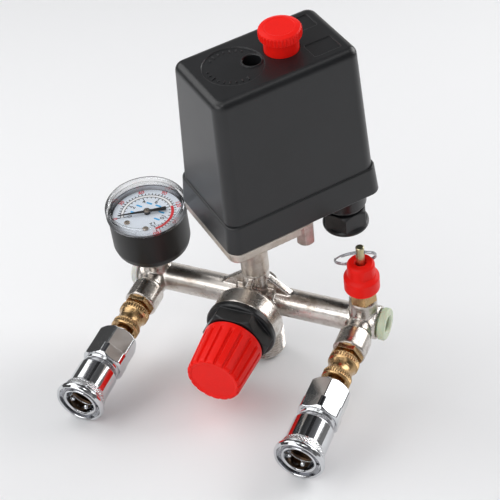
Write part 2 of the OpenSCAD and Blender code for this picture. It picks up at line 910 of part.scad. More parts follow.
module switch_piston() {
    color("#b5b2ac") on_neck() {
        rod(14.2, base_z, base_z + 1.4);
        rod(8, base_z + 1.3, piston_top - 2.5);
        rod(12.5, piston_top - 2.6, piston_top);
        rod(6.2, piston_top - 0.1, piston_top + 3);
    }
}

module range_spring() {
    color("#9a9a9a") on_neck() coil(8, 1.1, 5, piston_top, spring_top);
}

module range_screw() {
    color("#c9b458") on_neck() {
        hex(18, spring_top, spring_top + 2.5);
        rod(3, spring_top - 6, frame_top + frame_t);
        hex(9, frame_top + frame_t, frame_top + frame_t + 4);
    }
}

module contact_lever() {
    color("#a9abae") on_neck() {
        translate([lever_u, 0, lever_z]) rotate([90, 0, 0]) {
            cylinder(r = 1.3, h = 31, center = true);
            cylinder(r = 2.4, h = 12.8, center = true);
        }
        translate([9.8, -6.1, lever_under]) cube([23.5, 12.2, 1.2]);
        translate([10.3, -4, piston_top + run]) cube([1, 8, lever_under - piston_top]);
    }
}

module terminal_block() {
    color("#2b2b2e") on_neck() difference() {
        translate([27, -19, floor_top]) cube([12, 38, 9]);
        translate([30, -7, floor_top + 3.7]) cube([6, 14, 6]);
        for (w = [-15, -9, 9, 15])
            translate([33, w, 0]) rod(1.6, floor_top + 4, floor_top + 10);
    }
}

module terminal_screws() {
    color("#c9b458") on_neck() for (w = [-15, -9, 9, 15])
        translate([33, w, 0]) difference() {
            union() {
                rod(1.55, floor_top + 4.5, floor_top + 9.1);
                rod(2.7, floor_top + 9, floor_top + 10.8);
            }
            translate([-3, -0.35, floor_top + 10]) cube([6, 0.7, 2]);
        }
}

module contact_bridge() {
    color("#c88a45") on_neck() union() {
        translate([post_u - 1.5, -5, floor_top + 6.6]) cube([3, 10, 0.8]);
        translate([post_u, 0, 0]) rod(0.7, floor_top + 7.3, lever_under - run);
    }
}

module gland_nuts() {
    r = gland_d / 2;
    color("#161618") on_neck() for (side = [-1, 1])
        translate([gland_u, side * gland_w, 0]) difference() {
            union() {
                intersection() {
                    hex(19.4, gland_bottom + 2.2, 46);
                    turned([
                        [0, 30], [11.5, 30], [11.5, 44.2], [9.4, 46], [0, 46]
                    ]);
                }
                turned([
                    [0, gland_bottom], [r - 1.4, gland_bottom], [r, gland_bottom + 0.9],
                    [r, gland_bottom + 2], [r - 0.8, gland_bottom + 2.8], [0, gland_bottom + 2.8]
                ]);
            }
            rod(8.5 + run, 36.4, 47);
            rod(4.6, 33, 37);
        }
}

module gland_seals() {
    color("#3a3a3d") on_neck() for (side = [-1, 1])
        translate([gland_u, side * gland_w, 0]) tube(8.4, 4.6, 36.4, 38.5);
}

module unloader_body() {
    color("#c8ccce") on_neck() translate([unloader_u, unloader_w, 0]) difference() {
        union() {
            intersection() {
                hex(8, 44, base_z - 1.5);
                turned([[0, 44], [4, 44], [4.7, 44.9], [4.7, base_z], [0, base_z]]);
            }
            rod(1.95, base_z - 1.6, base_z);
        }
        rod(2.6, 43, 52);
        rod(0.8 + run, 51, base_z + 1);
    }
}

module unloader_pin() {
    color("#b98a3c") on_neck() translate([unloader_u, unloader_w, 0]) {
        rod(0.8, 50, floor_top + 8);
        rod(2.2, 49, 50.8);
    }
}

// ---------------------------------------------------------------- parts

translate([0, 0, hub_z]) {
    manifold_body();
    collet_left();
    collet_right();
    tube_seals();
    gauge_case();
    gauge_socket();
    gauge_bourdon();
    gauge_movement();
    gauge_dial();
    gauge_pointer();
    gauge_lens();
    dial_screws();
    relief_body();
    relief_cap();
    relief_stem();
    relief_spring();
    relief_ring();
    regulator_bonnet();
    regulator_knob();
    regulator_screw();
    regulator_nut();
    regulator_spring();
    regulator_diaphragm();
    regulator_poppet();
    poppet_spring();
    valve_body_left();
    valve_body_right();
    valve_sleeve_left();
    valve_sleeve_right();
    coupler_body_left();
    coupler_body_right();
    coupler_sleeve_left();
    coupler_sleeve_right();
    sleeve_spring_left();
    sleeve_spring_right();
    coupler_poppet_left();
    coupler_poppet_right();
    coupler_spring_left();
    coupler_spring_right();
    coupler_balls();
    coupler_clips();
    switch_flange();
    switch_base();
    switch_cover();
    cover_screw();
    on_off_knob();
    switch_frame();
    flange_screws();
    switch_diaphragm();
    switch_piston();
    range_spring();
    range_screw();
    contact_lever();
    terminal_block();
    terminal_screws();
    contact_bridge();
    gland_nuts();
    gland_seals();
    unloader_body();
    unloader_pin();
}
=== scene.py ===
import json
import math

import bmesh
import bpy
from mathutils import Matrix, Vector

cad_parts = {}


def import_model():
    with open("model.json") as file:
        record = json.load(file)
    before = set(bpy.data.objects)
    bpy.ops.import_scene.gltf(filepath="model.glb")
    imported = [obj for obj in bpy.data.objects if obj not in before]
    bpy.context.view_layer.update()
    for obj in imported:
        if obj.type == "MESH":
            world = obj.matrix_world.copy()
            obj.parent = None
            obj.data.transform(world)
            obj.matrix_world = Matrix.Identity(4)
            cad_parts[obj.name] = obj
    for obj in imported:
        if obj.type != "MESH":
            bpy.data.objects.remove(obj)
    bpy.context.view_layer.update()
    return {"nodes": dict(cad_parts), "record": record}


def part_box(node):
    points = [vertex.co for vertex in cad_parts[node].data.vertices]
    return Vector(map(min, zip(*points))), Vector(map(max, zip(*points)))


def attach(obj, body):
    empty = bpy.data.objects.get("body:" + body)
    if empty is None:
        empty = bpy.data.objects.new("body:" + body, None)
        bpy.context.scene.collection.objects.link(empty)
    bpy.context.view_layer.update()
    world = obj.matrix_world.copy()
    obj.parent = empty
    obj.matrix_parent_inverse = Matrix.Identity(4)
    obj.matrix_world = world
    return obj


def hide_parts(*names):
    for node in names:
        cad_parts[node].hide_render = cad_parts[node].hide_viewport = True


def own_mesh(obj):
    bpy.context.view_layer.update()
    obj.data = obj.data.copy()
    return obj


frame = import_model()

# Lengths in the piece functions are millimetres; a piece's mesh is scaled to metres once.
MM = 0.001
NODE_BODY = {
    node: body
    for body, nodes in frame["record"]["behaviour"]["bodies"].items()
    for node in nodes
}
NODE_SLOT = {s["node"]: s["material_slot"] for s in frame["record"]["subparts"]}


# ---------------------------------------------------------------- measuring the frame

def span(node, axis):
    """Lowest and highest millimetre of a CAD node along axis 0, 1 or 2."""
    low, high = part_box(node)
    return low[axis] / MM, high[axis] / MM


def middle(node, axis):
    low, high = span(node, axis)
    return (low + high) / 2


def upright(x, y, turn=0.0):
    """Local frame standing on (x, y), turned about +Z by degrees."""
    return Matrix.Translation(Vector((x, y, 0)) * MM) @ Matrix.Rotation(math.radians(turn), 4, "Z")


OUTLET_X = middle("coupler_body_right", 0)
HUB_Z = middle("tube_seals", 2)
SIDES = {"left": -OUTLET_X, "right": OUTLET_X}


def forward(x):
    """Local +Z runs along -Y from the tube axis at x, local +Y runs up."""
    return Matrix.Translation(Vector((x, 0, HUB_Z)) * MM) @ Matrix.Rotation(math.pi / 2, 4, "X")


def outward(side):
    """Local +Z runs along the cross tube on the given side."""
    return Matrix.Translation((0, 0, HUB_Z * MM)) @ Matrix.Rotation(side * math.pi / 2, 4, "Y")


def housing_turn():
    """Turn of the housing about +Z in degrees, from the line that joins the two glands."""
    glands = next(m for m in frame["record"]["mounts"] if m["name"] == "cable_front")
    other = next(m for m in frame["record"]["mounts"] if m["name"] == "cable_rear")
    across = Vector(other["pos_m"]) - Vector(glands["pos_m"])
    return math.degrees(math.atan2(across.y, across.x)) - 90


TURN = housing_turn()


def in_housing(node):
    """Extent of a node in the housing's own frame: (low, high) along it and across it."""
    back = Matrix.Rotation(math.radians(-TURN), 4, "Z")
    points = [back @ v.co for v in frame["nodes"][node].data.vertices]
    low = [min(p[i] for p in points) / MM for i in range(3)]
    high = [max(p[i] for p in points) / MM for i in range(3)]
    return low, high


# ---------------------------------------------------------------- materials

def ramp(tree, value, stops):
    node = tree.nodes.new("ShaderNodeValToRGB")
    elements = node.color_ramp.elements
    while len(elements) < len(stops):
        elements.new(0.5)
    for element, (position, color) in zip(elements, stops):
        element.position = position
        element.color = (*color, 1) if len(color) == 3 else color
    tree.links.new(value, node.inputs["Fac"])
    return node.outputs["Color"]


def scaled(tree, value, low, high):
    node = tree.nodes.new("ShaderNodeMapRange")
    node.inputs["To Min"].default_value = low
    node.inputs["To Max"].default_value = high
    tree.links.new(value, node.inputs["Value"])
    return node.outputs["Result"]


def mixed(tree, share, first, second, blend="MIX"):
    node = tree.nodes.new("ShaderNodeMix")
    node.data_type = "RGBA"
    node.blend_type = blend
    for socket, value in ((0, share), (6, first), (7, second)):
        if isinstance(value, bpy.types.NodeSocket):
            tree.links.new(value, node.inputs[socket])
        elif socket == 0:
            node.inputs[socket].default_value = value
        else:
            node.inputs[socket].default_value = (*value, 1)
    return node.outputs[2]


def cloud(tree, scale, detail=4.0, stretch=(1, 1, 1), rough=0.6):
    """Noise in the object's own metres; stretch squeezes it along an axis."""
    place = tree.nodes.new("ShaderNodeTexCoord")
    shape = tree.nodes.new("ShaderNodeMapping")
    shape.inputs["Scale"].default_value = stretch
    node = tree.nodes.new("ShaderNodeTexNoise")
    node.inputs["Scale"].default_value = scale
    node.inputs["Detail"].default_value = detail
    node.inputs["Roughness"].default_value = rough
    tree.links.new(place.outputs["Object"], shape.inputs["Vector"])
    tree.links.new(shape.outputs["Vector"], node.inputs["Vector"])
    return node.outputs["Fac"]


def edge_share(tree, soft_normal):
    """0 on faces and up to 1 along edges, from how far the softened normal leans."""
    geometry = tree.nodes.new("ShaderNodeNewGeometry")
    dot = tree.nodes.new("ShaderNodeVectorMath")
    dot.operation = "DOT_PRODUCT"
    tree.links.new(geometry.outputs["Normal"], dot.inputs[0])
    tree.links.new(soft_normal, dot.inputs[1])
    return ramp(tree, dot.outputs["Value"], [(0.86, (1, 1, 1)), (0.995, (0, 0, 0))])


def finish(name, base, alt, metallic, rough, mottle=60, grain=900, bump=0.04, edge=0.3,
           worn=None, stretch=(1, 1, 1), coat=0.0, soft=0.0, fine=(1, 1, 1), stain=None, gloss=0.5):
    """Surface with blotches of two tones, a fine grain in its bump and worn edges.

    base, alt: the two tones; rough: roughness from and to; mottle, grain: noise scales;
    bump: height of the grain in mm; edge: width of the softened edges in mm; worn: tone
    along the edges; stretch, fine: squeeze of the blotches and of the grain; stain: tone
    of large dull patches; gloss: specular level.
    """
    material = bpy.data.materials.new(name)
    material.use_nodes = True
    tree = material.node_tree
    shader = tree.nodes["Principled BSDF"]
    blotch = cloud(tree, mottle, stretch=stretch)
    grains = cloud(tree, grain, detail=3.0, stretch=fine)
    color = mixed(tree, ramp(tree, blotch, [(0.35, (0, 0, 0)), (0.65, (1, 1, 1))]), base, alt)
    color = mixed(tree, scaled(tree, grains, 0.0, 0.25), color, tuple(c * 0.6 for c in base))
    if stain:
        patches = ramp(tree, cloud(tree, mottle * 1.7, detail=8.0, rough=0.7), [(0.50, (0,) * 3), (0.66, (0.8,) * 3)])
        color = mixed(tree, patches, color, stain)
    shader.inputs["Specular IOR Level"].default_value = gloss
    bevel = tree.nodes.new("ShaderNodeBevel")
    bevel.samples = 4
    bevel.inputs["Radius"].default_value = edge * MM
    if worn:
        share = edge_share(tree, bevel.outputs["Normal"])
        patchy = mixed(tree, 1.0, share, ramp(tree, blotch, [(0.3, (0.2,) * 3), (0.7, (1,) * 3)]), "MULTIPLY")
        color = mixed(tree, patchy, color, worn)
    tree.links.new(color, shader.inputs["Base Color"])
    shader.inputs["Metallic"].default_value = metallic
    tree.links.new(scaled(tree, blotch, *rough), shader.inputs["Roughness"])
    height = tree.nodes.new("ShaderNodeBump")
    height.inputs["Strength"].default_value = 0.6
    height.inputs["Distance"].default_value = bump * MM
    tree.links.new(grains, height.inputs["Height"])
    tree.links.new(bevel.outputs["Normal"], height.inputs["Normal"])
    tree.links.new(height.outputs["Normal"], shader.inputs["Normal"])
    shader.inputs["Coat Weight"].default_value = coat
    shader.inputs["Coat Roughness"].default_value = 0.12
    if soft:
        shader.inputs["Subsurface Weight"].default_value = soft
        shader.inputs["Subsurface Radius"].default_value = (1.0, 0.35, 0.2)
        shader.inputs["Subsurface Scale"].default_value = 1.2 * MM
    return material


def clear_plastic(name, tints, mirror):
    """Thin clear plastic: tints and mirror give its tone and shine from facing to grazing."""
    material = bpy.data.materials.new(name)
    material.use_nodes = True
    tree = material.node_tree
    shader = tree.nodes["Principled BSDF"]
    shader.inputs["Base Color"].default_value = (0.90, 0.92, 0.95, 1)
    shader.inputs["Metallic"].default_value = 1.0
    smears = cloud(tree, 70, detail=5.0)
    tree.links.new(scaled(tree, smears, 0.02, 0.10), shader.inputs["Roughness"])
    passing = tree.nodes.new("ShaderNodeBsdfTransparent")
    facing = tree.nodes.new("ShaderNodeLayerWeight")
    facing.inputs["Blend"].default_value = 0.5
    tint = ramp(tree, facing.outputs["Facing"], [(at, (tone,) * 3) for at, tone in tints])
    tree.links.new(tint, passing.inputs["Color"])
    share = ramp(tree, facing.outputs["Facing"], [(at, (tone,) * 3) for at, tone in mirror])
    rays = tree.nodes.new("ShaderNodeLightPath")
    share = mixed(tree, rays.outputs["Is Shadow Ray"], share, (0, 0, 0))
    mix = tree.nodes.new("ShaderNodeMixShader")
    tree.links.new(share, mix.inputs["Fac"])
    tree.links.new(passing.outputs["BSDF"], mix.inputs[1])
    tree.links.new(shader.outputs["BSDF"], mix.inputs[2])
    tree.links.new(mix.outputs["Shader"], tree.nodes["Material Output"].inputs["Surface"])
    return material


RINGS_ALONG_Y = (1, 30, 1)
RINGS_ALONG_Z = (1, 1, 30)

MATERIALS = {
    "black_plastic": finish("black_plastic", (0.008, 0.0085, 0.0095), (0.011, 0.0115, 0.013), 0, (0.28, 0.38),
                            mottle=35, grain=1500, bump=0.05, edge=0.5, worn=(0.035, 0.035, 0.038), gloss=0.5),
    "case_paint": finish("case_paint", (0.007, 0.007, 0.007), (0.012, 0.0115, 0.011), 0, (0.36, 0.48),
                         mottle=40, grain=2200, bump=0.03, edge=0.4, worn=(0.03, 0.03, 0.03), gloss=0.35),
    "red_plastic": finish("red_plastic", (0.92, 0.012, 0.007), (0.86, 0.010, 0.006), 0, (0.30, 0.42), gloss=0.16,
                          mottle=50, grain=1200, bump=0.02, edge=0.25, worn=(0.95, 0.05, 0.03), soft=0.08),
    "nickel_casting": finish("nickel_casting", (0.74, 0.70, 0.66), (0.58, 0.54, 0.50), 1, (0.18, 0.36),
                             mottle=110, grain=420, bump=0.16, edge=0.3, worn=(0.80, 0.77, 0.74),
                             stretch=(0.35, 1, 1), stain=(0.36, 0.30, 0.25)),
    "zinc_casting": finish("zinc_casting", (0.70, 0.65, 0.59), (0.58, 0.53, 0.48), 1, (0.34, 0.52),
                           mottle=130, grain=800, bump=0.14, edge=0.4, worn=(0.85, 0.82, 0.78),
                           stain=(0.50, 0.42, 0.35)),
    "chrome": finish("chrome", (0.74, 0.75, 0.77), (0.66, 0.67, 0.69), 1, (0.05, 0.14),
                     mottle=90, grain=500, bump=0.02, edge=0.25, worn=(0.92, 0.92, 0.94)),
    "brass": finish("brass", (0.64, 0.43, 0.22), (0.50, 0.33, 0.16), 1, (0.20, 0.34),
                    mottle=120, grain=260, bump=0.03, edge=0.2, worn=(0.86, 0.69, 0.45), fine=RINGS_ALONG_Y,
                    stain=(0.36, 0.22, 0.10)),
    "yellow_zinc": finish("yellow_zinc", (0.62, 0.55, 0.30), (0.50, 0.50, 0.36), 1, (0.22, 0.38),
                          mottle=250, grain=300, bump=0.03, edge=0.2, worn=(0.75, 0.72, 0.55), fine=RINGS_ALONG_Z),
    "white_zinc": finish("white_zinc", (0.70, 0.73, 0.70), (0.56, 0.62, 0.57), 1, (0.28, 0.42),
                         mottle=180, grain=600, bump=0.05, edge=0.25, worn=(0.85, 0.86, 0.85),
                         stain=(0.40, 0.44, 0.38)),
    "plain_steel": finish("plain_steel", (0.55, 0.55, 0.56), (0.45, 0.45, 0.46), 1, (0.22, 0.38),
                          mottle=150, grain=500, bump=0.02, edge=0.2, worn=(0.75, 0.75, 0.76), fine=(12, 1, 1)),
    "spring_steel": finish("spring_steel", (0.42, 0.42, 0.44), (0.34, 0.34, 0.36), 1, (0.2, 0.34),
                           mottle=200, grain=900, bump=0.01, edge=0.1, worn=(0.6, 0.6, 0.62)),
    "ball_steel": finish("ball_steel", (0.86, 0.86, 0.87), (0.78, 0.78, 0.80), 1, (0.06, 0.12),
                         mottle=300, grain=900, bump=0.004, edge=0.1),
    "copper": finish("copper", (0.66, 0.34, 0.18), (0.55, 0.27, 0.15), 1, (0.25, 0.4),
                     mottle=200, grain=500, bump=0.02, edge=0.15, worn=(0.85, 0.5, 0.3)),
    "seal_rubber": finish("seal_rubber", (0.022, 0.022, 0.023), (0.032, 0.032, 0.033), 0, (0.55, 0.75),
                          mottle=90, grain=1500, bump=0.03, edge=0.3),
    "pale_plastic": finish("pale_plastic", (0.60, 0.67, 0.48), (0.65, 0.71, 0.54), 0, (0.3, 0.42),
                           mottle=60, grain=1100, bump=0.02, edge=0.3, worn=(0.80, 0.85, 0.72), soft=0.3),
    "dial_white": finish("dial_white", (0.72, 0.78, 0.86), (0.76, 0.81, 0.88), 0, (0.35, 0.45),
                         mottle=60, grain=2000, bump=0.004, edge=0.05),
    "pointer_black": finish("pointer_black", (0.006, 0.006, 0.006), (0.012, 0.012, 0.012), 0, (0.3, 0.42),
                            mottle=90, grain=2000, bump=0.006, edge=0.08),
    "clear_plastic": clear_plastic(
        "clear_plastic", [(0.45, 0.99), (0.8, 0.85)], [(0.35, 0.012), (0.6, 0.03), (0.97, 0.3)]),
    "clear_rim": clear_plastic(
        "clear_rim", [(0.30, 0.94), (0.45, 0.70), (0.65, 0.22), (0.85, 0.02)],
        [(0.20, 0.07), (0.45, 0.22), (0.70, 0.10), (1.0, 0.05)]),
}
INKS = {
    "red": finish("ink_red", (0.74, 0.016, 0.022), (0.68, 0.016, 0.024), 0, (0.4, 0.5), grain=3000, bump=0.002),
    "black": finish("ink_black", (0.005, 0.005, 0.006), (0.01, 0.01, 0.011), 0, (0.4, 0.5), grain=3000, bump=0.002),
    "blue": finish("ink_blue", (0.05, 0.40, 0.78), (0.06, 0.43, 0.80), 0, (0.4, 0.5), grain=3000, bump=0.002),
    "grey": finish("ink_grey", (0.84, 0.84, 0.85), (0.88, 0.88, 0.89), 0, (0.4, 0.5), grain=3000, bump=0.002),
}
# Brass darkened as painted shade: it stands for the shadow deep inside the coupler bores.
BRASS_PAINTED_SHADE = finish("brass_painted_shade", (0.16, 0.09, 0.045), (0.10, 0.055, 0.03), 1, (0.25, 0.4),
                    mottle=200, grain=900, bump=0.01, edge=0.15, worn=(0.35, 0.2, 0.1))
DIAL_METAL = finish("dial_metal", (0.60, 0.52, 0.44), (0.46, 0.40, 0.34), 1, (0.2, 0.32),
                    mottle=900, grain=2000, bump=0.01, edge=0.15, worn=(0.80, 0.75, 0.68))
LINER = finish("liner", (0.84, 0.85, 0.90), (0.88, 0.89, 0.93), 0.1, (0.25, 0.35),
               mottle=80, grain=2000, bump=0.004, edge=0.1, worn=(0.9, 0.9, 0.94))
WHITISH = finish("whitish_plastic", (0.70, 0.70, 0.66), (0.74, 0.74, 0.70), 0, (0.3, 0.42),
                 mottle=60, grain=1100, bump=0.02, edge=0.3, worn=(0.85, 0.85, 0.82), soft=0.3)


# ---------------------------------------------------------------- mesh tools

def as_object(name, mesh):
    obj = bpy.data.objects.new(name, mesh)
    bpy.context.scene.collection.objects.link(obj)
    return obj


def mesh_object(name, verts, faces, place):
    """Closed mesh from millimetre points in a local frame, with its faces turned outwards."""
    mesh = bpy.data.meshes.new(name)
    mesh.from_pydata([place @ (Vector(v) * MM) for v in verts], [], faces)
    work = bmesh.new()
    work.from_mesh(mesh)
    bmesh.ops.recalc_face_normals(work, faces=work.faces)
    work.to_mesh(mesh)
    work.free()
    return as_object(name, mesh)


def shade(obj, angle=35):
    """Smooth shading that breaks at edges sharper than angle degrees."""
    for polygon in obj.data.polygons:
        polygon.use_smooth = True
    obj.data.set_sharp_from_angle(angle=math.radians(angle))
    weigh = obj.modifiers.new("weigh", "WEIGHTED_NORMAL")
    weigh.keep_sharp = True


def paint(obj, material):
    obj.data.materials.clear()
    obj.data.materials.append(material)


def skin(obj, *nodes, material=None, angle=35):
    """obj stands for the CAD nodes: it takes their body and their slot's material, and hides them."""
    slot = NODE_SLOT[nodes[0]]
    paint(obj, material or MATERIALS[slot])
    shade(obj, angle)
    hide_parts(*nodes)
    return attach(obj, NODE_BODY[nodes[0]])


def added(obj, node, material, angle=35):
    """obj is a detail on a CAD node: print, ring, plating mark."""
    paint(obj, material)
    shade(obj, angle)
    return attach(obj, NODE_BODY[node])


def joined(name, objects):
    """One object from several meshes in the row frame."""
    work = bmesh.new()
    for obj in objects:
        work.from_mesh(obj.data)
        bpy.data.objects.remove(obj)
    mesh = bpy.data.meshes.new(name)
    work.to_mesh(mesh)
    work.free()
    return as_object(name, mesh)


def applied(obj):
    """obj with its modifiers baked into its mesh."""
    graph = bpy.context.evaluated_depsgraph_get()
    baked = bpy.data.meshes.new_from_object(obj.evaluated_get(graph))
    obj.modifiers.clear()
    obj.data = baked
    return obj


def combined(obj, other, operation):
    """obj cut by, or united with, other."""
    step = obj.modifiers.new("combine", "BOOLEAN")
    step.operation = operation
    step.solver = "EXACT"
    step.object = other
    bpy.context.view_layer.update()
    applied(obj)
    bpy.data.objects.remove(other)
    return obj


def rounded(outline, radius=0.3, steps=3):
    """Outline with its corners rounded; a third number gives a corner's own radius."""
    points = []
    for i, corner in enumerate(outline):
        here = Vector(corner[:2])
        to_last = Vector(outline[i - 1][:2]) - here
        to_next = Vector(outline[(i + 1) % len(outline)][:2]) - here
        size = corner[2] if len(corner) > 2 else radius
        flat = to_last.length < 1e-6 or to_next.length < 1e-6
        if flat or here.x < 1e-6 or size <= 0:
            points.append(here)
            continue
        angle = to_last.angle(to_next)
        if angle > math.radians(176):
            points.append(here)
            continue
        cut = min(size / math.tan(angle / 2), to_last.length * 0.48, to_next.length * 0.48)
        start = here + to_last.normalized() * cut
        end = here + to_next.normalized() * cut
        for k in range(steps + 1):
            t = k / steps
            points.append(start * (1 - t) ** 2 + here * 2 * t * (1 - t) + end * t * t)
    return points


def divided(outline, step):
    """Outline with no stretch longer than step."""
    points = []
    for i, here in enumerate(outline):
        points.append(here)
        after = outline[(i + 1) % len(outline)]
        if here.x < 1e-6 and after.x < 1e-6:
            continue
        pieces = max(1, math.ceil((after - here).length / step))
        points += [here.lerp(after, k / pieces) for k in range(1, pieces)]
    return points


def lathe(name, outline, place, steps=96, section=None, step=None, radius=0.3):
    """Solid of revolution about local +Z from a closed [radius, height] outline.

    section(radius, height, angle) may give each point another radius, which makes
    hexagons, flutes, knurls and threads.
    """
    points = rounded(outline, radius)
    if step:
        points = divided(points, step)
    verts, rows = [], []
    for r, z in points:
        if r < 1e-6:
            rows.append([len(verts)])
            verts.append((0, 0, z))
            continue
        rows.append(list(range(len(verts), len(verts) + steps)))
        for k in range(steps):
            a = 2 * math.pi * k / steps
            rr = section(r, z, a) if section else r
            verts.append((rr * math.cos(a), rr * math.sin(a), z))
    faces = []
    for i, row in enumerate(rows):
        after = rows[(i + 1) % len(rows)]
        if len(row) == 1 and len(after) == 1:
            continue
        for k in range(steps):
            n = (k + 1) % steps
            corners = [row[k % len(row)], row[n % len(row)], after[n % len(after)], after[k % len(after)]]
            faces.append(list(dict.fromkeys(corners)))
    return mesh_object(name, verts, faces, place)


def hexagon(flats, turn=0.0):
    """Section that limits a lathe to a hexagon of the given width across flats."""
    def limit(r, _z, a):
        off = (a - math.radians(turn)) % (math.pi / 3) - math.pi / 6
        return min(r, flats / 2 / math.cos(off))
    return limit


def wave(a, count):
    """Triangle wave 0 to 1 round a circle."""
    t = (a * count / (2 * math.pi)) % 1
    return 1 - abs(2 * t - 1)


def smooth_step(t):
    t = min(1.0, max(0.0, t))
    return t * t * (3 - 2 * t)


def rod(name, radius, low, high, place, steps=48):
    return lathe(name, [(0, low), (radius, low), (radius, high), (0, high)], place, steps, radius=0)


def rounded_box(length, width, corner, arc=10):
    """Points round a rectangle with round corners, counter-clockwise."""
    corner = max(corner, 0.05)
    points = []
    for sx, sy, start in ((1, 1, 0), (-1, 1, 90), (-1, -1, 180), (1, -1, 270)):
        cx, cy = sx * (length / 2 - corner), sy * (width / 2 - corner)
        for k in range(arc + 1):
            a = math.radians(start + 90 * k / arc)
            points.append((cx + corner * math.cos(a), cy + corner * math.sin(a)))
    return points


def loft(name, levels, place, arc=10):
    """Closed skin through level sections (length, width, corner, height)."""
    verts, faces = [], []
    count = 4 * (arc + 1)
    for length, width, corner, z in levels:
        verts += [(x, y, z) for x, y in rounded_box(length, width, corner, arc)]
    for i in range(len(levels) - 1):
        for k in range(count):
            n = (k + 1) % count
            faces.append([i * count + k, i * count + n, (i + 1) * count + n, (i + 1) * count + k])
    faces.append(list(range(count)))
    faces.append(list(range((len(levels) - 1) * count, len(levels) * count)))
    return mesh_object(name, verts, faces, place)


def wire(name, path, thick, place, sides=12, closed=False):
    """Round wire swept along millimetre points."""
    verts, faces = [], []
    count = len(path)
    side_hint = Vector((0.31, 0.17, 0.93))
    for i, p in enumerate(path):
        ahead = Vector(path[(i + 1) % count]) if closed or i + 1 < count else Vector(p)
        behind = Vector(path[i - 1]) if closed or i else Vector(p)
        along = (ahead - behind).normalized()
        u = along.cross(side_hint).normalized()
        v = along.cross(u)
        for k in range(sides):
            a = 2 * math.pi * k / sides
            verts.append(Vector(p) + (u * math.cos(a) + v * math.sin(a)) * thick)
    loops = count if closed else count - 1
    for i in range(loops):
        j = (i + 1) % count
        for k in range(sides):
            n = (k + 1) % sides
            faces.append([i * sides + k, i * sides + n, j * sides + n, j * sides + k])
    if not closed:
        faces.append(list(range(sides)))
        faces.append(list(range((count - 1) * sides, count * sides)))
    return mesh_object(name, verts, faces, place)


# ---------------------------------------------------------------- switch housing

COVER_LOW, COVER_HIGH = in_housing("switch_cover")
BASE_LOW, BASE_HIGH = in_housing("switch_base")
MID_U = (COVER_LOW[0] + COVER_HIGH[0]) / 2
MID_W = (COVER_LOW[1] + COVER_HIGH[1]) / 2
HOUSING = upright(0, 0, TURN) @ Matrix.Translation(Vector((MID_U, MID_W, 0)) * MM)
NECK = upright(0, 0, TURN)
COVER_TOP = COVER_HIGH[2]
KNOB_LOW, KNOB_HIGH = in_housing("on_off_knob")
KNOB_U = (KNOB_LOW[0] + KNOB_HIGH[0]) / 2
SCREW_LOW, SCREW_HIGH = in_housing("cover_screw")
SCREW_U = (SCREW_LOW[0] + SCREW_HIGH[0]) / 2
GLAND_LOW, GLAND_HIGH = in_housing("gland_nuts")
GLAND_R = ((GLAND_HIGH[0] - GLAND_LOW[0])) / 2
GLAND_U = (GLAND_LOW[0] + GLAND_HIGH[0]) / 2
GLAND_W = (GLAND_HIGH[1] - GLAND_LOW[1]) / 2 - GLAND_R


DISC_SPOT = (SCREW_U - 8.7, 1.2)


def cover_levels(length, width, top_length, top_width, low, high, corner, fillet, inset=0.0):
    """Sections of a tapered box whose top edge rolls over with the given fillet."""
    levels = []
    side_steps = 6
    for k in range(side_steps + 1):
        t = k / side_steps
        levels.append((
            length + (top_length - length) * t - 2 * inset,
            width + (top_width - width) * t - 2 * inset,
            max(corner - inset, 0.5) - 0.8 * t,
            low + (high - inset - fillet - low) * t,
        ))
    last = levels[-1]
    for k in range(1, 9):
        a = math.radians(90 * k / 8)
        pull = fillet * (1 - math.cos(a))
        levels.append((
            last[0] - 2 * pull, last[1] - 2 * pull, max(last[2] - pull, 0.4),
            last[3] + fillet * math.sin(a),
        ))
    return levels


def switch_cover():
    length = COVER_HIGH[0] - COVER_LOW[0]
    width = COVER_HIGH[1] - COVER_LOW[1]
    top_length, top_width = length - 5.4, width - 7.0
    low = BASE_HIGH[2]
    outer = cover_levels(length, width, top_length, top_width, low, COVER_TOP, 6.0, 4.0)
    cover = loft("switch_cover_skin", outer, HOUSING)
    inner = cover_levels(length, width, top_length, top_width, low - 1, COVER_TOP, 6.0, 3.0, inset=1.8)
    combined(cover, loft("room", inner, HOUSING), "DIFFERENCE")
    for u, r_boss, depth in ((SCREW_U, 6, 25.2), (KNOB_U, 9.4, 12)):
        boss = rod("boss", r_boss, COVER_TOP - depth, COVER_TOP - 1, NECK @ Matrix.Translation((u * MM, 0, 0)))
        combined(cover, boss, "UNION")
    for u, r, depth in ((SCREW_U, 4.1, 22.9), (SCREW_U, 2.1, 30), (KNOB_U, 7.95, 20)):
        hole = lathe("hole", [(0, -depth), (r, -depth), (r, -0.3), (r + 0.3, 0.05), (r + 0.3, 1), (0, 1)],
                     NECK @ Matrix.Translation((u * MM, 0, COVER_TOP * MM)), 64, radius=0)
        combined(cover, hole, "DIFFERENCE")
    disc = lathe("disc", [(0, -0.45), (13.7, -0.45), (14.0, 1), (0, 1)],
                 NECK @ Matrix.Translation(Vector((*DISC_SPOT, COVER_TOP)) * MM), 96, radius=0)
    island = rod("island", 4.9, -1, 2, NECK @ Matrix.Translation(Vector((SCREW_U, 0, COVER_TOP)) * MM))
    combined(disc, island, "DIFFERENCE")
    combined(cover, disc, "DIFFERENCE")
    panel = [(13.3, 9.9, 0.8, -0.4), (13.5, 10.1, 0.8, 1)]
    for w in (-9.7, 10.4):
        spot = NECK @ Matrix.Translation(Vector((KNOB_U + 15, w, COVER_TOP)) * MM)
        combined(cover, loft("recess", panel, spot, 4), "DIFFERENCE")
    skin(cover, "switch_cover", angle=28)


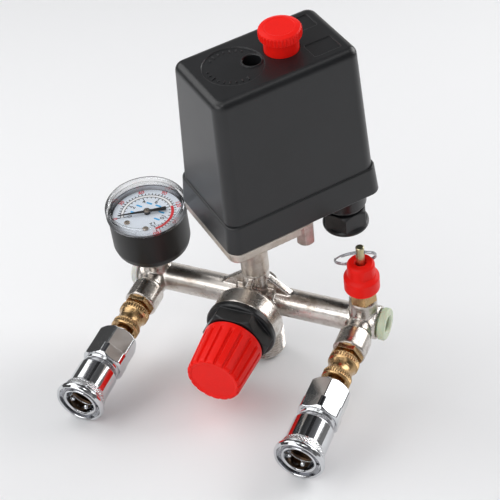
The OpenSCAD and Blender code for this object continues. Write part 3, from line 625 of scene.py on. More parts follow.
def cover_marks():
    """Generic raised ticks round the recessed disc."""
    marks = []
    floor_z = COVER_TOP - 0.47
    for k in range(26):
        if 9 < k < 12 or 20 < k < 23:
            continue
        a = 360 * k / 26
        spot = NECK @ Matrix.Translation(Vector((*DISC_SPOT, floor_z)) * MM)
        spot = spot @ Matrix.Rotation(math.radians(a), 4, "Z") @ Matrix.Translation((11.3 * MM, 0, 0))
        length = 1.1 + 0.5 * ((k * 7) % 3)
        if abs((spot.translation - (NECK @ Vector((SCREW_U * MM, 0.0005, floor_z * MM)))).length) < 7 * MM:
            continue
        marks.append(loft("mark", [(length, 0.75, 0.15, 0), (length * 0.9, 0.5, 0.12, 0.4)], spot, 2))
    added(joined("cover_marks", marks), "switch_cover", MATERIALS["black_plastic"])


def band_levels(low, high):
    """Sections of the base band: rounded lower edge, slight draft, rounded lip."""
    length, width = BASE_HIGH[0] - BASE_LOW[0], BASE_HIGH[1] - BASE_LOW[1]
    levels = [(length - 2.0, width - 2.0, 4.6, low)]
    for k in range(1, 5):
        a = math.radians(90 * k / 4)
        pull = 1.0 * (1 - math.sin(a))
        levels.append((length - 2 * pull, width - 2 * pull, 5.6 - pull, low + 1.0 * (1 - math.cos(a))))
    for k in range(1, 4):
        t = k / 3
        levels.append((length - 2.0 * t, width - 2.2 * t, 5.6, low + 1 + (high - 0.9 - low - 1) * t))
    for k in range(1, 5):
        a = math.radians(90 * k / 4)
        pull = 0.9 * (1 - math.cos(a))
        levels.append((length - 2 - 2 * pull, width - 2.2 - 2 * pull, 5.6 - pull, high - 0.9 + 0.9 * math.sin(a)))
    return levels


def switch_base():
    low, high = span("switch_flange", 2)[1], BASE_HIGH[2]
    base = loft("switch_base_skin", band_levels(low, high), HOUSING)
    length, width = BASE_HIGH[0] - BASE_LOW[0], BASE_HIGH[1] - BASE_LOW[1]
    room = [(length - 4.6, width - 4.6, 4, low + 2), (length - 6.2, width - 6.4, 4, high + 1)]
    combined(base, loft("room", room, HOUSING, 6), "DIFFERENCE")
    for side in (-1, 1):
        spot = NECK @ Matrix.Translation(Vector((GLAND_U, side * GLAND_W, 0)) * MM)
        boss = lathe("boss", [(0, low + 1), (10.8, low + 1, 0), (10.6, HUB_Z + 49, 1.2),
                              (10, HUB_Z + 47.6, 0.8), (8.5, HUB_Z + 47), (8.5, HUB_Z + 38.5),
                              (0, HUB_Z + 38.5)], spot, 72)
        combined(base, boss, "UNION")
        combined(base, rod("hole", 6.6, HUB_Z + 38, low + 3, spot), "DIFFERENCE")
    combined(base, rod("hole", 15, low - 1, low + 3, NECK, 72), "DIFFERENCE")
    skin(base, "switch_base", angle=28)


def gland_nuts():
    low, high = span("gland_nuts", 2)
    nuts = []
    for side in (-1, 1):
        spot = NECK @ Matrix.Translation(Vector((GLAND_U, side * GLAND_W, 0)) * MM)
        flange = [(4.6, low), (GLAND_R - 1.4, low, 0.6), (GLAND_R, low + 0.9), (GLAND_R, low + 2),
                  (GLAND_R - 0.8, low + 2.8, 0.5), (8.6, low + 2.8, 0), (8.6, low + 2.4), (4.6, low + 2.4)]
        body = [(8.56, low + 2.5, 0), (GLAND_R + 0.3, low + 2.5, 0), (GLAND_R + 0.3, high - 1.8, 0.4),
                (GLAND_R - 1.2, high - 0.3, 0.3), (GLAND_R - 1.8, high), (8.56, high)]
        nuts.append(lathe("nut", flange, spot))
        nuts.append(lathe("nut", body, spot, 96, hexagon(19.4), 0.5))
    skin(joined("gland_nuts_skin", nuts), "gland_nuts", angle=30)


def on_off_knob():
    """Mushroom button with fine flutes under a plain, slightly dished face."""
    radius = (KNOB_HIGH[0] - KNOB_LOW[0]) / 2
    low, top = KNOB_LOW[2], KNOB_HIGH[2]
    head = top - 5

    def flutes(r, z, a):
        depth = smooth_step((z - head - 0.3) / 0.5) * smooth_step((top - 0.7 - z) / 0.5)
        if r < radius - 1.0 or z < head + 0.2:
            return r
        return r - 0.5 * depth * (0.5 + 0.5 * math.cos(36 * a)) ** 0.7

    outline = [(0, low), (3, low), (3, COVER_TOP - 9.9), (7.9, COVER_TOP - 9.9), (7.9, head, 0.6),
               (radius - 0.9, head, 0.5), (radius, head + 0.6, 0.5), (radius, top - 1.2, 0.3),
               (radius - 0.7, top - 0.5, 0.5), (radius - 2.3, top, 0.5), (radius - 2.9, top - 0.02, 0.1),
               (radius - 3.2, top - 0.22, 0.1), (0, top - 0.25)]
    place = NECK @ Matrix.Translation((KNOB_U * MM, 0, 0))
    skin(lathe("on_off_knob_skin", outline, place, 240, flutes, 0.35), "on_off_knob", angle=50)


# ---------------------------------------------------------------- manifold

def cast(name, node, voxel, rounds, keep_above=None):
    """Copy of a CAD casting with the soft inner and outer corners of a real one."""
    source = frame["nodes"][node]
    obj = as_object(name, source.data.copy())
    if keep_above is not None:
        blocker = rod("blocker", 14, -60, keep_above, Matrix(), 64)
        combined(obj, blocker, "DIFFERENCE")
    remesh = obj.modifiers.new("remesh", "REMESH")
    remesh.mode = "VOXEL"
    remesh.voxel_size = voxel * MM
    soften = obj.modifiers.new("soften", "SMOOTH")
    soften.iterations = rounds
    soften.factor = 0.5
    return applied(obj)


INLET_BOTTOM = span("manifold_body", 2)[0]
THREAD_TOP = INLET_BOTTOM + 13.3
INLET_R = frame["record"]["mounts"][0]["dims"]["r_mm"]


def inlet_thread():
    pitch, depth = 1.814, 1.0

    def helix(r, z, a):
        if r < INLET_R - 0.6:
            return r
        t = (z / pitch - a / (2 * math.pi)) % 1
        run_out = smooth_step((z - INLET_BOTTOM) / 1.4) * smooth_step((THREAD_TOP - z) / 0.7)
        crest = abs(2 * t - 1)
        return r - depth * (1 - run_out) * 0.8 - depth * run_out * smooth_step(1.25 * crest - 0.12)

    outline = [(6.5, INLET_BOTTOM, 0), (INLET_R - 1.0, INLET_BOTTOM, 0), (INLET_R, INLET_BOTTOM + 0.9, 0),
               (INLET_R, THREAD_TOP, 0), (INLET_R - 1.1, THREAD_TOP + 0.4, 0), (6.5, THREAD_TOP + 0.4, 0)]
    return lathe("manifold_thread", outline, Matrix(), 144, helix, 0.16)


def manifold():
    casting = cast("manifold_casting", "manifold_body", 0.42, 10, keep_above=THREAD_TOP)
    skin(casting, "manifold_body", angle=60)
    thread = inlet_thread()
    added(thread, "manifold_body", MATERIALS["nickel_casting"], angle=60)


def collets():
    for side, node in ((-1, "collet_left"), (1, "collet_right")):
        low, high = span(node, 0)
        inner, outer = (-high, -low) if side < 0 else (low, high)
        lip = outer - 3.5
        outline = [(4.05, inner, 0.1), (5.35, inner, 0.2), (5.35, lip, 0.1), (7.6, lip, 0.3),
                   (8, lip + 0.5, 0.4), (8, outer - 0.7, 0.5), (7.3, outer, 0.4), (4.9, outer, 0.4),
                   (4.05, outer - 0.9, 0.3)]
        ring = lathe(node + "_skin", outline, outward(side))
        skin(ring, node, material=WHITISH if side < 0 else None)


# ---------------------------------------------------------------- gauge

GAUGE = upright(-OUTLET_X, 0)
DIAL_TOP = span("gauge_dial", 2)[1]
CASE_TOP = span("gauge_case", 2)[1]
LENS_R = (span("gauge_lens", 0)[1] - span("gauge_lens", 0)[0]) / 2
ZERO, SWEEP = 212.0, 258.0


def dial_angle(share):
    """Direction on the dial in degrees from +X for a share of the scale."""
    return ZERO - SWEEP * share


def dial_spot(angle, radius, lift=0.02):
    turn = Matrix.Rotation(math.radians(angle), 4, "Z")
    return GAUGE @ turn @ Matrix.Translation(Vector((radius, 0, DIAL_TOP + lift)) * MM)


def tick(angle, inner, outer, width):
    place = dial_spot(angle, (inner + outer) / 2)
    return loft("tick", [(outer - inner, width, width / 3, 0), (outer - inner, width, width / 3, 0.03)], place, 1)


def arc_band(inner, outer, start, end, height=0.03):
    """Flat band on the dial between two directions."""
    steps = 48
    verts, faces = [], []
    for k in range(steps + 1):
        a = math.radians(start + (end - start) * k / steps)
        for r, z in ((inner, 0), (outer, 0), (outer, height), (inner, height)):
            verts.append((r * math.cos(a), r * math.sin(a), DIAL_TOP + 0.01 + z))
    for k in range(steps):
        for c in range(4):
            n = (c + 1) % 4
            faces.append([4 * k + c, 4 * k + n, 4 * k + 4 + n, 4 * k + 4 + c])
    faces += [[0, 1, 2, 3], [4 * steps + c for c in range(4)]]
    return mesh_object("band", verts, faces, GAUGE)


def lettering(text, size, angle, radius, upright_turn=-90):
    """Mesh of a number on the dial, its foot towards the centre."""
    curve = bpy.data.curves.new("text", "FONT")
    curve.body = text
    curve.size = size * MM
    curve.extrude = 0.015 * MM
    curve.offset = 0.05 * MM
    curve.resolution_u = 3
    curve.align_x = curve.align_y = "CENTER"
    source = as_object("text", curve)
    bpy.context.view_layer.update()
    mesh = bpy.data.meshes.new_from_object(source.evaluated_get(bpy.context.evaluated_depsgraph_get()))
    bpy.data.objects.remove(source)
    mesh.transform(dial_spot(angle, radius, 0.03) @ Matrix.Rotation(math.radians(upright_turn), 4, "Z"))
    return as_object("text", mesh)


def level_mark(angle, radius, length, width):
    """Short bar that stays level when the dial is read upright."""
    place = dial_spot(angle, radius) @ Matrix.Rotation(math.radians(dial_angle(0.5) - 90 - angle), 4, "Z")
    return loft("mark", [(length, width, width / 3, 0), (length, width, width / 3, 0.03)], place, 2)


def dial_print():
    ticks = [tick(dial_angle(k / 36), 13.2, 15.0 if k % 6 == 0 else 14.4, 0.44) for k in range(37)]
    ticks += [tick(dial_angle(k / 24), 9.9 if k % 4 == 0 else 10.7, 11.7, 0.4) for k in range(25)]
    for inner, outer in ((11.5, 11.8), (13.0, 13.3)):
        ticks.append(arc_band(inner, outer, dial_angle(0), dial_angle(0.66), 0.04))
    numbers = [lettering(str(2 * k), 3.2, dial_angle(k / 6), 8.6) for k in range(7)]
    added(joined("dial_black_print", ticks + numbers), "gauge_dial", INKS["black"])
    red = [lettering(str(30 * k), 3.1, dial_angle(k / 6), 15.8) for k in range(7)]
    red.append(arc_band(11.8, 13.2, dial_angle(0.665), dial_angle(1), 0.05))
    added(joined("dial_red_print", red), "gauge_dial", INKS["red"])
    added(joined("dial_grey_print", [arc_band(11.8, 13.0, dial_angle(0), dial_angle(0.66))]), "gauge_dial", INKS["grey"])
    blue = [level_mark(dial_angle((k + 0.5) / 6) + 2, 7.0, 3.3, 1.0) for k in range(6)]
    added(joined("dial_blue_print", blue), "gauge_dial", INKS["blue"])


def pointer_hub():
    """Thin plated cap on the pointer's bush."""
    top = span("gauge_pointer", 2)[1]
    spot = GAUGE @ Matrix.Translation((0, 0, (top - 0.45) * MM))
    added(slotted_head("pointer_hub", spot, 1.63, 0.47, 20), "gauge_pointer", DIAL_METAL)


def slotted_head(name, place, radius, height, slot_turn):
    """Round screw head with a domed rim and a cut slot."""
    head = lathe(name, [(0, 0), (radius, 0, 0.1), (radius, height * 0.6, 0.25), (radius - 0.3, height, 0.2), (0, height)],
                 place, 48)
    wide = 0.3 * radius
    slot = loft("slot", [(2.4 * radius, wide, 0.1, height * 0.4), (2.4 * radius, wide, 0.1, height + 1)],
                place @ Matrix.Rotation(math.radians(slot_turn), 4, "Z"), 1)
    return combined(head, slot, "DIFFERENCE")


def dial_screws():
    """Screws on both sides of the foot of the scale."""
    low, high = span("dial_screws", 2)
    heads = []
    middle_turn = dial_angle(0.5) + 180
    for side, slot_turn in ((-28, 40), (28, 100)):
        spot = GAUGE @ Matrix.Rotation(math.radians(middle_turn + side), 4, "Z")
        spot = spot @ Matrix.Translation(Vector((11.4, 0, 0)) * MM)
        shank = rod("shank", 0.78, low, high - 0.6, spot, 24)
        seat = spot @ Matrix.Translation((0, 0, DIAL_TOP * MM))
        heads += [shank, slotted_head("head", seat, 1.5, high - DIAL_TOP, slot_turn)]
    skin(joined("dial_screws_skin", heads), "dial_screws", material=DIAL_METAL, angle=40)


def gauge_case():
    low, top = span("gauge_case", 2)[0], CASE_TOP
    r = LENS_R - 0.7
    outline = [(3.6, low), (r - 6, low, 3), (r - 3, low + 0.9, 4), (r - 0.9, low + 3.2, 3.5), (r, low + 6.4, 3),
               (r, top, 0.3), (r - 1.1, top, 0.3), (r - 1.1, low + 6.6, 2), (r - 4, low + 2.4, 2),
               (r - 6.4, low + 1.4, 2), (3.6, low + 1.4)]
    skin(lathe("gauge_case_skin", outline, GAUGE, 128, radius=0.2), "gauge_case", angle=40)


def gauge_lens():
    """Clear cap: thick rim with a rounded lip, a skirt inside the case and a flat window."""
    top = span("gauge_lens", 2)[1]
    seat = CASE_TOP + 0.12
    skirt = span("gauge_lens", 2)[0]
    outline = [(0, top - 1.6), (LENS_R - 2.2, top - 1.6, 0.5), (LENS_R - 2.2, skirt, 0.05), (LENS_R - 1.85, skirt, 0.05),
               (LENS_R - 1.85, seat, 0.05), (LENS_R - 0.2, seat), (LENS_R, seat + 0.3), (LENS_R, top - 1.0, 0.9),
               (LENS_R - 0.7, top, 0.6), (LENS_R - 1.7, top, 0.3), (LENS_R - 2.0, top - 0.4, 0.2), (0, top - 0.4)]
    lens = lathe("gauge_lens_skin", outline, GAUGE, 160, radius=0.15)
    skin(lens, "gauge_lens", angle=50)
    lens.data.materials.append(MATERIALS["clear_rim"])
    lens.data.materials.append(LINER)
    centre = GAUGE.translation
    for polygon in lens.data.polygons:
        if polygon.center.z < (seat + 0.02) * MM and (polygon.center - centre).xy.length < (LENS_R - 1.8) * MM:
            polygon.material_index = 2
        elif (polygon.center - centre).xy.length > (LENS_R - 2.7) * MM:
            polygon.material_index = 1


# ---------------------------------------------------------------- relief valve

RELIEF = upright(OUTLET_X, 0)


def relief_valve():
    boss_top = span("relief_body", 2)[1] - 14
    cap_low, cap_top = span("relief_cap", 2)
    r = (span("relief_cap", 0)[1] - span("relief_cap", 0)[0]) / 2
    body_low = span("relief_body", 2)[0]
    body = [(0, body_low), (4.8, body_low), (4.8, boss_top, 0), (7.2, boss_top, 0.1), (7.2, boss_top + 6.9, 0.4),
            (5.6, boss_top + 6.9, 0), (5.6, boss_top + 14), (3.9, boss_top + 14), (3.9, HUB_Z + 17), (1.6, HUB_Z + 17),
            (1.6, body_low + 1), (0, body_low + 1)]
    body = [(p[0], p[1], p[2] if len(p) > 2 else 0.15) for p in body]
    skin(lathe("relief_body_skin", body, RELIEF, 96, hexagon(12), 0.5), "relief_body", angle=30)
    shoulder = cap_low + 8.5

    def flats(radius, z, a):
        """Two shallow flats on the upper cylinder."""
        if z < shoulder + 0.6 or radius < 5.7:
            return radius
        off = (a - math.radians(50)) % math.pi - math.pi / 2
        return min(radius, 6.25 / max(math.cos(off), 0.5))

    cap = [(5.65, cap_low, 0.1), (r - 0.5, cap_low, 0.3), (r, cap_low + 0.6, 0.4), (r, shoulder - 0.9, 0.7),
           (r - 1.0, shoulder, 0.6), (7.0, shoulder + 0.35, 0.4), (6.7, shoulder + 0.8, 0.5),
           (6.55, cap_top - 1.3, 0.5), (5.6, cap_top, 0.6), (2.9, cap_top, 0.3), (2.1, cap_top - 1, 0.2),
           (2.1, cap_top - 2.4, 0), (4, cap_top - 2.4, 0), (4, boss_top + 14.2, 0), (5.65, boss_top + 14.2, 0)]
    skin(lathe("relief_cap_skin", cap, RELIEF, 128, flats, 0.6), "relief_cap", angle=40)


def pull_ring():
    """Split ring of nearly two turns, hanging through the hole in the stem."""
    source = frame["nodes"]["relief_ring"].data
    points = [v.co / MM for v in source.vertices]
    centre = sum(points, Vector()) / len(points)
    far = max(points, key=lambda p: (p - centre).length) - centre
    normal = Vector()
    for p in points:
        c = far.cross(p - centre)
        normal += c if c.dot(normal) >= 0 else -c
    normal.normalize()
    radius = far.length - 0.6
    u = far.normalized()
    v = normal.cross(u)
    path = []
    for k in range(121):
        t = k / 120
        a = 2 * math.pi * 1.9 * t
        side = 0.42 * math.tanh(9 * (t - 0.5))
        path.append(centre + (u * math.cos(a) + v * math.sin(a)) * radius + normal * side)
    skin(wire("relief_ring_skin", path, 0.42, Matrix()), "relief_ring")


# ---------------------------------------------------------------- regulator

def regulator_knob():
    """Tapered knob with finger slots closed at the rear and open at the front rim."""
    front = -span("regulator_knob", 1)[0]
    back = -span("regulator_knob", 1)[1]
    slots = 18
    r_back = (span("regulator_knob", 0)[1] - span("regulator_knob", 0)[0]) / 2
    r_front = r_back - 1.5
    socket = hexagon(8.1)

    def slotted(r, z, a):
        wall = r_back + (r_front - r_back) * (z - back) / (front - back)
        if r < 5:
            return socket(r, z, a)
        if r < wall - 2.6 or z < back + 2:
            return r
        along = smooth_step((z - back - 2.6) / 0.8)
        across = smooth_step((abs(math.sin(slots * a / 2)) - 0.38) / 0.16)
        deep = wall - 1.15
        return r - max(0.0, r - deep) * along * (1 - across)

    outline = [(0, back + 16.8), (4.7, back + 16.8, 0), (4.7, back + 9.8, 0), (11.2, back + 9.8, 0),
               (11.2, back, 0.1), (r_back - 0.4, back, 0.3), (r_back, back + 0.5, 0.4),
               (r_front + 0.05, front - 1.2, 0.6), (r_front - 0.5, front - 0.2, 0.4), (r_front - 1.0, front, 0.3),
               (r_front - 2.0, front, 0.2), (r_front - 2.3, front - 0.35, 0.15), (0, front - 0.42)]
    skin(lathe("regulator_knob_skin", outline, forward(0), 360, slotted, 0.5), "regulator_knob", angle=45)


def regulator_bonnet():
    back, front = -span("regulator_bonnet", 1)[1], -span("regulator_bonnet", 1)[0]
    seat = back + 6.8
    flange = [(11, back), (13.45, back), (13.45, seat, 0), (17.4, seat, 0.2), (17.7, seat + 0.3), (17.7, seat + 2.6, 0.4),
              (17.1, seat + 3.4, 0.3), (12, seat + 3.4, 0), (12, seat + 3), (11, seat + 3)]
    nut = [(8.61, seat + 3, 0), (17.4, seat + 3, 0), (17.4, seat + 8.8, 0.5), (15.6, seat + 10.6, 0.5), (9.8, seat + 10.6, 0),
           (9.8, front), (3.05, front), (3.05, front - 1.4), (8.61, front - 1.4, 0)]
    pocket, flats = hexagon(14.9), hexagon(30)

    def section(r, z, a):
        return pocket(r, z, a) if r < 8.7 else flats(r, z, a)

    parts = [lathe("part", flange, forward(0), 128), lathe("part", nut, forward(0), 144, section, 0.5)]
    skin(joined("regulator_bonnet_skin", parts), "regulator_bonnet", angle=30)


# ---------------------------------------------------------------- outlets

def knurl(count, pitch, depth, low, high, least):
    """Section that presses a diamond pattern between two heights."""
    def pressed(r, z, a):
        if r < least or z < low or z > high:
            return r
        fade = smooth_step((z - low) / 0.3) * smooth_step((high - z) / 0.3)
        first = wave(a + 2 * math.pi * (z - low) / (pitch * count), count)
        second = wave(a - 2 * math.pi * (z - low) / (pitch * count), count)
        return r - depth * fade * (1 - max(first, second) * 0.9)
    return pressed


def coupler_sleeve(side, x):
    front = -span("coupler_sleeve_" + side, 1)[0]
    lip = (span("coupler_sleeve_" + side, 0)[1] - span("coupler_sleeve_" + side, 0)[0]) / 2
    back = -span("coupler_sleeve_" + side, 1)[1]
    outline = [
        (9.1, back), (9.5, back, 0.2), (9.85, back + 0.5, 0.3), (9.85, front - 7.6, 0.5), (10.15, front - 7.3, 0.2),
        (11.15, front - 4.2, 0.4), (11.2, front - 3.9, 0.1), (10.75, front - 3.7, 0.1), (10.75, front - 3.3, 0.1),
        (lip - 0.5, front - 3.0, 0.3), (lip, front - 2.5, 0.5), (lip, front - 1.2, 0.8), (lip - 0.8, front, 0.5),
        (10.9, front, 0.3), (10.4, front - 0.5, 0.2), (10.4, front - 2.5, 0), (8.45, front - 2.5, 0),
        (8.45, back + 7.5, 0), (9.1, back + 7.5, 0)]
    section = knurl(42, 1.5, 0.5, front - 7.2, front - 4.3, 9.9)
    sleeve = lathe("coupler_sleeve_" + side + "_skin", outline, forward(x), 324, section, 0.3, radius=0.15)
    skin(sleeve, "coupler_sleeve_" + side, angle=40)


def coupler_body(side, x):
    front = -span("coupler_body_" + side, 1)[0]
    back = -span("coupler_body_" + side, 1)[1]
    step = back + 11.4

    def two_hexagons(r, z, a):
        if z > back + 19.05 or r < 6:
            return r
        return hexagon(18.2 if z < step + 0.3 else 19.4, 21)(r, z, a)

    outline = [
        (4.85, back, 0.2), (9.3, back, 0.2), (10.6, back + 1.6, 0.3), (10.6, step, 0), (10.6, step + 0.6, 0),
        (10.6, back + 18, 0.2), (9.6, back + 19, 0.2), (8.9, back + 19, 0.1), (8.7, back + 20.2, 0.2),
        (7.7, back + 21, 0.3), (7.7, back + 31, 0), (8.4, back + 31.4, 0), (8.4, front - 1.9, 0),
        (7.95, front - 1.9, 0), (7.95, front - 0.9, 0), (8.4, front - 0.9, 0), (8.4, front - 0.3, 0.15),
        (8.1, front, 0.1), (7.65, front, 0.1), (7.1, front - 0.5, 0.1), (7.1, front - 2.8, 0), (7.3, front - 2.8, 0),
        (7.3, front - 5.7, 0), (7.1, front - 5.7, 0), (7.1, back + 32.5, 0), (5.45, back + 32.5, 0),
        (5.45, back + 25, 0), (5.8, back + 25, 0), (5.8, back + 11.5, 0), (2.6, back + 11.5, 0),
        (2.6, back + 9, 0), (4.85, back + 9, 0)]
    body = lathe("coupler_body_" + side + "_skin", outline, forward(x), 144, two_hexagons, 0.5, radius=0.1)
    skin(body, "coupler_body_" + side, angle=30)


def valve_sleeve(side, x):
    back = -span("valve_sleeve_" + side, 1)[1]

    def ribs(r, z, a):
        first = smooth_step((z - back - 0.5) / 0.3) * smooth_step((back + 3.5 - z) / 0.3)
        second = smooth_step((z - back - 10.6) / 0.3) * smooth_step((back + 13.4 - z) / 0.3)
        if r < 6.4:
            return r
        return r - 0.5 * (first + second) * (0.5 + 0.5 * math.cos(36 * a)) ** 0.8

    outline = [
        (4.25, back, 0.1), (6.8, back, 0.3), (7.5, back + 0.6, 0.3), (7.5, back + 3.4, 0.5), (6.7, back + 4.2, 0.5),
        (6.3, back + 5.6, 1.0), (6.15, back + 7.0, 1.5), (6.25, back + 8.6, 1.0), (6.6, back + 9.8, 0.5),
        (7.1, back + 10.6, 0.4), (7.1, back + 13.4, 0.4), (6.5, back + 14.2, 0.3), (5.7, back + 14.2, 0.2),
        (5.7, back + 12.6, 0), (4.25, back + 12.6, 0), (4.25, back + 11.2, 0), (5, back + 11.2, 0), (5, back + 2.4, 0),
        (4.25, back + 2.4, 0)]
    sleeve = lathe("valve_sleeve_" + side + "_skin", outline, forward(x), 252, ribs, 0.4, radius=0.2)
    skin(sleeve, "valve_sleeve_" + side, angle=45)


def coupler_balls():
    balls = []
    ring_y = -middle("coupler_balls", 1)
    for x in SIDES.values():
        for k in range(6):
            spin = Matrix.Rotation(math.radians(60 * k + 30), 4, "Z")
            place = forward(x) @ spin @ Matrix.Translation(Vector((7.2, 0, ring_y)) * MM)
            arc = [(1.2 * math.cos(math.radians(b)), 1.2 * math.sin(math.radians(b))) for b in range(-90, 91, 12)]
            arc[0], arc[-1] = (0, -1.2), (0, 1.2)
            balls.append(lathe("ball", arc, place, 24, radius=0))
    skin(joined("coupler_balls_skin", balls), "coupler_balls", angle=60)


# ---------------------------------------------------------------- springs

def spring(node, place, along, thick, turns):
    """Round-wire compression spring with closed ends, standing where the CAD coil is."""
    low, high = span(node, along)
    if along == 1:
        low, high = -high, -low
    across = 0
    radius = (span(node, across)[1] - span(node, across)[0]) / 2 - thick
    path = []
    for k in range(40 * turns + 1):
        t = k / (40 * turns)
        closed = 1.1 / turns
        rise = min(t, closed) * 2.1 * thick * turns
        rise += max(0.0, t - 1 + closed) * 2.1 * thick * turns
        open_part = (high - low - 2 * thick - 2 * closed * 2.1 * thick * turns) / (1 - 2 * closed)
        rise += open_part * (min(max(t, closed), 1 - closed) - closed)
        a = 2 * math.pi * turns * t
        path.append(Vector((radius * math.cos(a), radius * math.sin(a), low + thick + rise)))
    coil = skin(wire(node + "_skin", path, thick, place, 10), node, angle=60)
    shorten(coil, node)


def shorten(coil, node):
    """A coil that the record lists as deforming with a joint gets its own copy of its mesh."""
    for joint in frame["record"]["behaviour"]["joints"]:
        for soft in joint.get("deforming_nodes", []):
            if soft["node"] != node:
                continue
            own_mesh(coil)


def springs():
    spring("relief_spring", RELIEF, 2, 0.5, 6)
    spring("range_spring", NECK, 2, 1.1, 6)
    spring("regulator_spring", forward(0), 1, 0.7, 5)
    spring("poppet_spring", forward(0), 1, 0.3, 7)
    for side, x in SIDES.items():
        spring("sleeve_spring_" + side, forward(x), 1, 0.3, 5)
        spring("coupler_spring_" + side, forward(x), 1, 0.4, 6)


# ---------------------------------------------------------------- CAD nodes that stay

def dress(node):
    """A CAD node that shows as it is: material, clean edges and even shading."""
    obj = frame["nodes"][node]
    paint(obj, MATERIALS[NODE_SLOT[node]])
    shade(obj, 30)


# ---------------------------------------------------------------- stage

def floor_frame():
    """The floor touches both coupler lips and the rim of the tank inlet."""
    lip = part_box("coupler_sleeve_right")[0]
    tip = Vector((0, lip.y + 1.0 * MM, lip.z))
    rim = Vector((0, -(INLET_R - 1) * MM, INLET_BOTTOM * MM))
    slope = (rim - tip).normalized()
    side = Vector((1, 0, 0))
    up = side.cross(slope)
    frame_matrix = Matrix((side, slope, up)).transposed().to_4x4()
    frame_matrix.translation = rim - up * 0.02 * MM
    return frame_matrix


FLOOR = floor_frame()


def floor():
    half = 4.0
    mesh = bpy.data.meshes.new("floor")
    mesh.from_pydata([(-half, -half, 0), (half, -half, 0), (half, half, 0), (-half, half, 0)], [], [(0, 1, 2, 3)])
    obj = as_object("floor", mesh)
    obj.matrix_world = FLOOR
    material = bpy.data.materials.new("floor")
    material.use_nodes = True
    tree = material.node_tree
    shader = tree.nodes["Principled BSDF"]
    shader.inputs["Base Color"].default_value = (0.84, 0.84, 0.85, 1)
    shader.inputs["Roughness"].default_value = 0.55
    shader.inputs["Specular IOR Level"].default_value = 0.25
    hidden = tree.nodes.new("ShaderNodeBsdfTransparent")
    geometry = tree.nodes.new("ShaderNodeNewGeometry")
    mix = tree.nodes.new("ShaderNodeMixShader")
    tree.links.new(geometry.outputs["Backfacing"], mix.inputs["Fac"])
    tree.links.new(shader.outputs["BSDF"], mix.inputs[1])
    tree.links.new(hidden.outputs["BSDF"], mix.inputs[2])
    tree.links.new(mix.outputs["Shader"], tree.nodes["Material Output"].inputs["Surface"])
    mesh.materials.append(material)


def softbox(name, toward, distance, width, height, watts, color=(1, 1, 1)):
    """Area light seen from the object in direction toward, in the floor's frame."""
    light = bpy.data.lights.new(name, "AREA")
    light.shape = "RECTANGLE"
    light.size, light.size_y = width, height
    light.energy = watts
    light.color = color
    obj = as_object(name, light)
    target = Vector((0, 0, 0.04 + HUB_Z * MM))
    direction = (FLOOR.to_3x3() @ Vector(toward)).normalized()
    obj.location = target + direction * distance
    obj.rotation_mode = "QUATERNION"
    obj.rotation_quaternion = (-direction).to_track_quat("-Z", "Y")


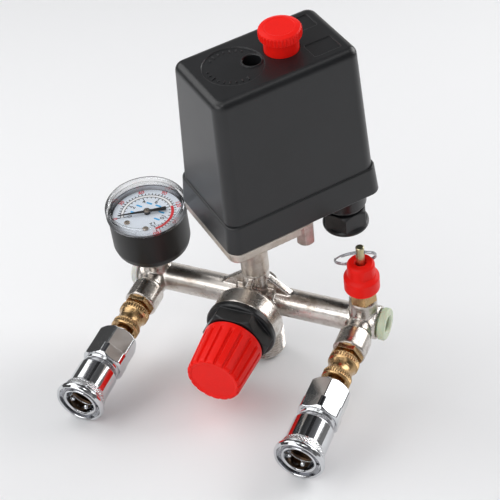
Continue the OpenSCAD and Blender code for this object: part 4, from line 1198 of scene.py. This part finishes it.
def world():
    """Even light for rough surfaces; polished ones see a darker ceiling and a pale horizon."""
    scene_world = bpy.data.worlds.new("studio")
    bpy.context.scene.world = scene_world
    scene_world.use_nodes = True
    tree = scene_world.node_tree
    even = tree.nodes["Background"]
    even.inputs["Color"].default_value = (0.98, 0.99, 1.0, 1)
    even.inputs["Strength"].default_value = 0.44
    shiny = tree.nodes.new("ShaderNodeBackground")
    place = tree.nodes.new("ShaderNodeTexCoord")
    split = tree.nodes.new("ShaderNodeSeparateXYZ")
    tree.links.new(place.outputs["Generated"], split.inputs["Vector"])
    tone = ramp(tree, split.outputs["Z"], [
        (0.0, (0.75, 0.74, 0.73)), (0.12, (0.64, 0.63, 0.62)), (0.35, (0.44, 0.44, 0.44)),
        (0.62, (0.14, 0.14, 0.145)), (0.84, (0.07, 0.07, 0.075)), (0.91, (1.3, 1.3, 1.3)),
    ])
    across = tree.nodes.new("ShaderNodeMapRange")
    across.inputs["From Min"].default_value = -1.0
    tree.links.new(split.outputs["X"], across.inputs["Value"])
    stripes = ramp(tree, across.outputs["Result"], [
        (0.06, (0.14,) * 3), (0.22, (0.14,) * 3), (0.25, (1.15,) * 3), (0.44, (1.15,) * 3), (0.47, (0.25,) * 3),
        (0.57, (0.25,) * 3), (0.60, (1.2,) * 3), (0.86, (1.2,) * 3), (0.89, (0.3,) * 3)])
    tone = mixed(tree, 1.0, tone, stripes, "MULTIPLY")
    tree.links.new(tone, shiny.inputs["Color"])
    rays = tree.nodes.new("ShaderNodeLightPath")
    mix = tree.nodes.new("ShaderNodeMixShader")
    tree.links.new(rays.outputs["Is Glossy Ray"], mix.inputs["Fac"])
    tree.links.new(even.outputs["Background"], mix.inputs[1])
    tree.links.new(shiny.outputs["Background"], mix.inputs[2])
    tree.links.new(mix.outputs["Shader"], tree.nodes["World Output"].inputs["Surface"])


def camera():
    """Long lens, a third of the way up, with the couplers towards the viewer."""
    data = bpy.data.cameras.new("camera")
    data.sensor_width = 36
    data.lens = 103.7
    data.clip_end = 20
    obj = as_object("camera", data)
    ahead = Vector((-0.3350762, 0.64234659, -0.68928572))
    up = Vector((-0.19697173, 0.66765489, 0.71794086))
    right = ahead.cross(up).normalized()
    turn = Matrix((right, right.cross(ahead), -ahead)).transposed().to_4x4()
    turn.translation = Vector((0.23079, -0.44546, 0.50910 + HUB_Z * MM))
    obj.matrix_world = turn
    bpy.context.scene.camera = obj


def studio():
    floor()
    world()
    softbox("key", (-0.80, -0.12, 0.75), 1.0, 0.9, 0.8, 4.6)
    softbox("front", (-0.30, -0.86, 0.42), 1.3, 1.3, 0.5, 6)
    softbox("back", (0.52, 0.66, 0.54), 1.2, 0.9, 0.7, 7.5)
    softbox("glint", (0.22, -0.66, 0.72), 1.0, 0.15, 0.15, 0.6)
    camera()
    view = bpy.context.scene.view_settings
    view.view_transform = "Standard"
    view.look = "None"
    view.exposure = 0.0


# ---------------------------------------------------------------- everything

def build():
    switch_cover()
    cover_marks()
    switch_base()
    gland_nuts()
    on_off_knob()
    manifold()
    collets()
    gauge_case()
    dial_print()
    dial_screws()
    pointer_hub()
    gauge_lens()
    relief_valve()
    pull_ring()
    regulator_knob()
    regulator_bonnet()
    for side, x in SIDES.items():
        coupler_sleeve(side, x)
        coupler_body(side, x)
        valve_sleeve(side, x)
    coupler_balls()
    springs()
    flange = cast("switch_flange_skin", "switch_flange", 0.5, 4)
    skin(flange, "switch_flange", angle=60)
    for node, obj in frame["nodes"].items():
        if not obj.hide_render:
            dress(node)
    # The poppets take the darkened brass, a painted shade for the dark bore they sit in.
    for side in SIDES:
        paint(frame["nodes"]["coupler_poppet_" + side], BRASS_PAINTED_SHADE)
    studio()


build()
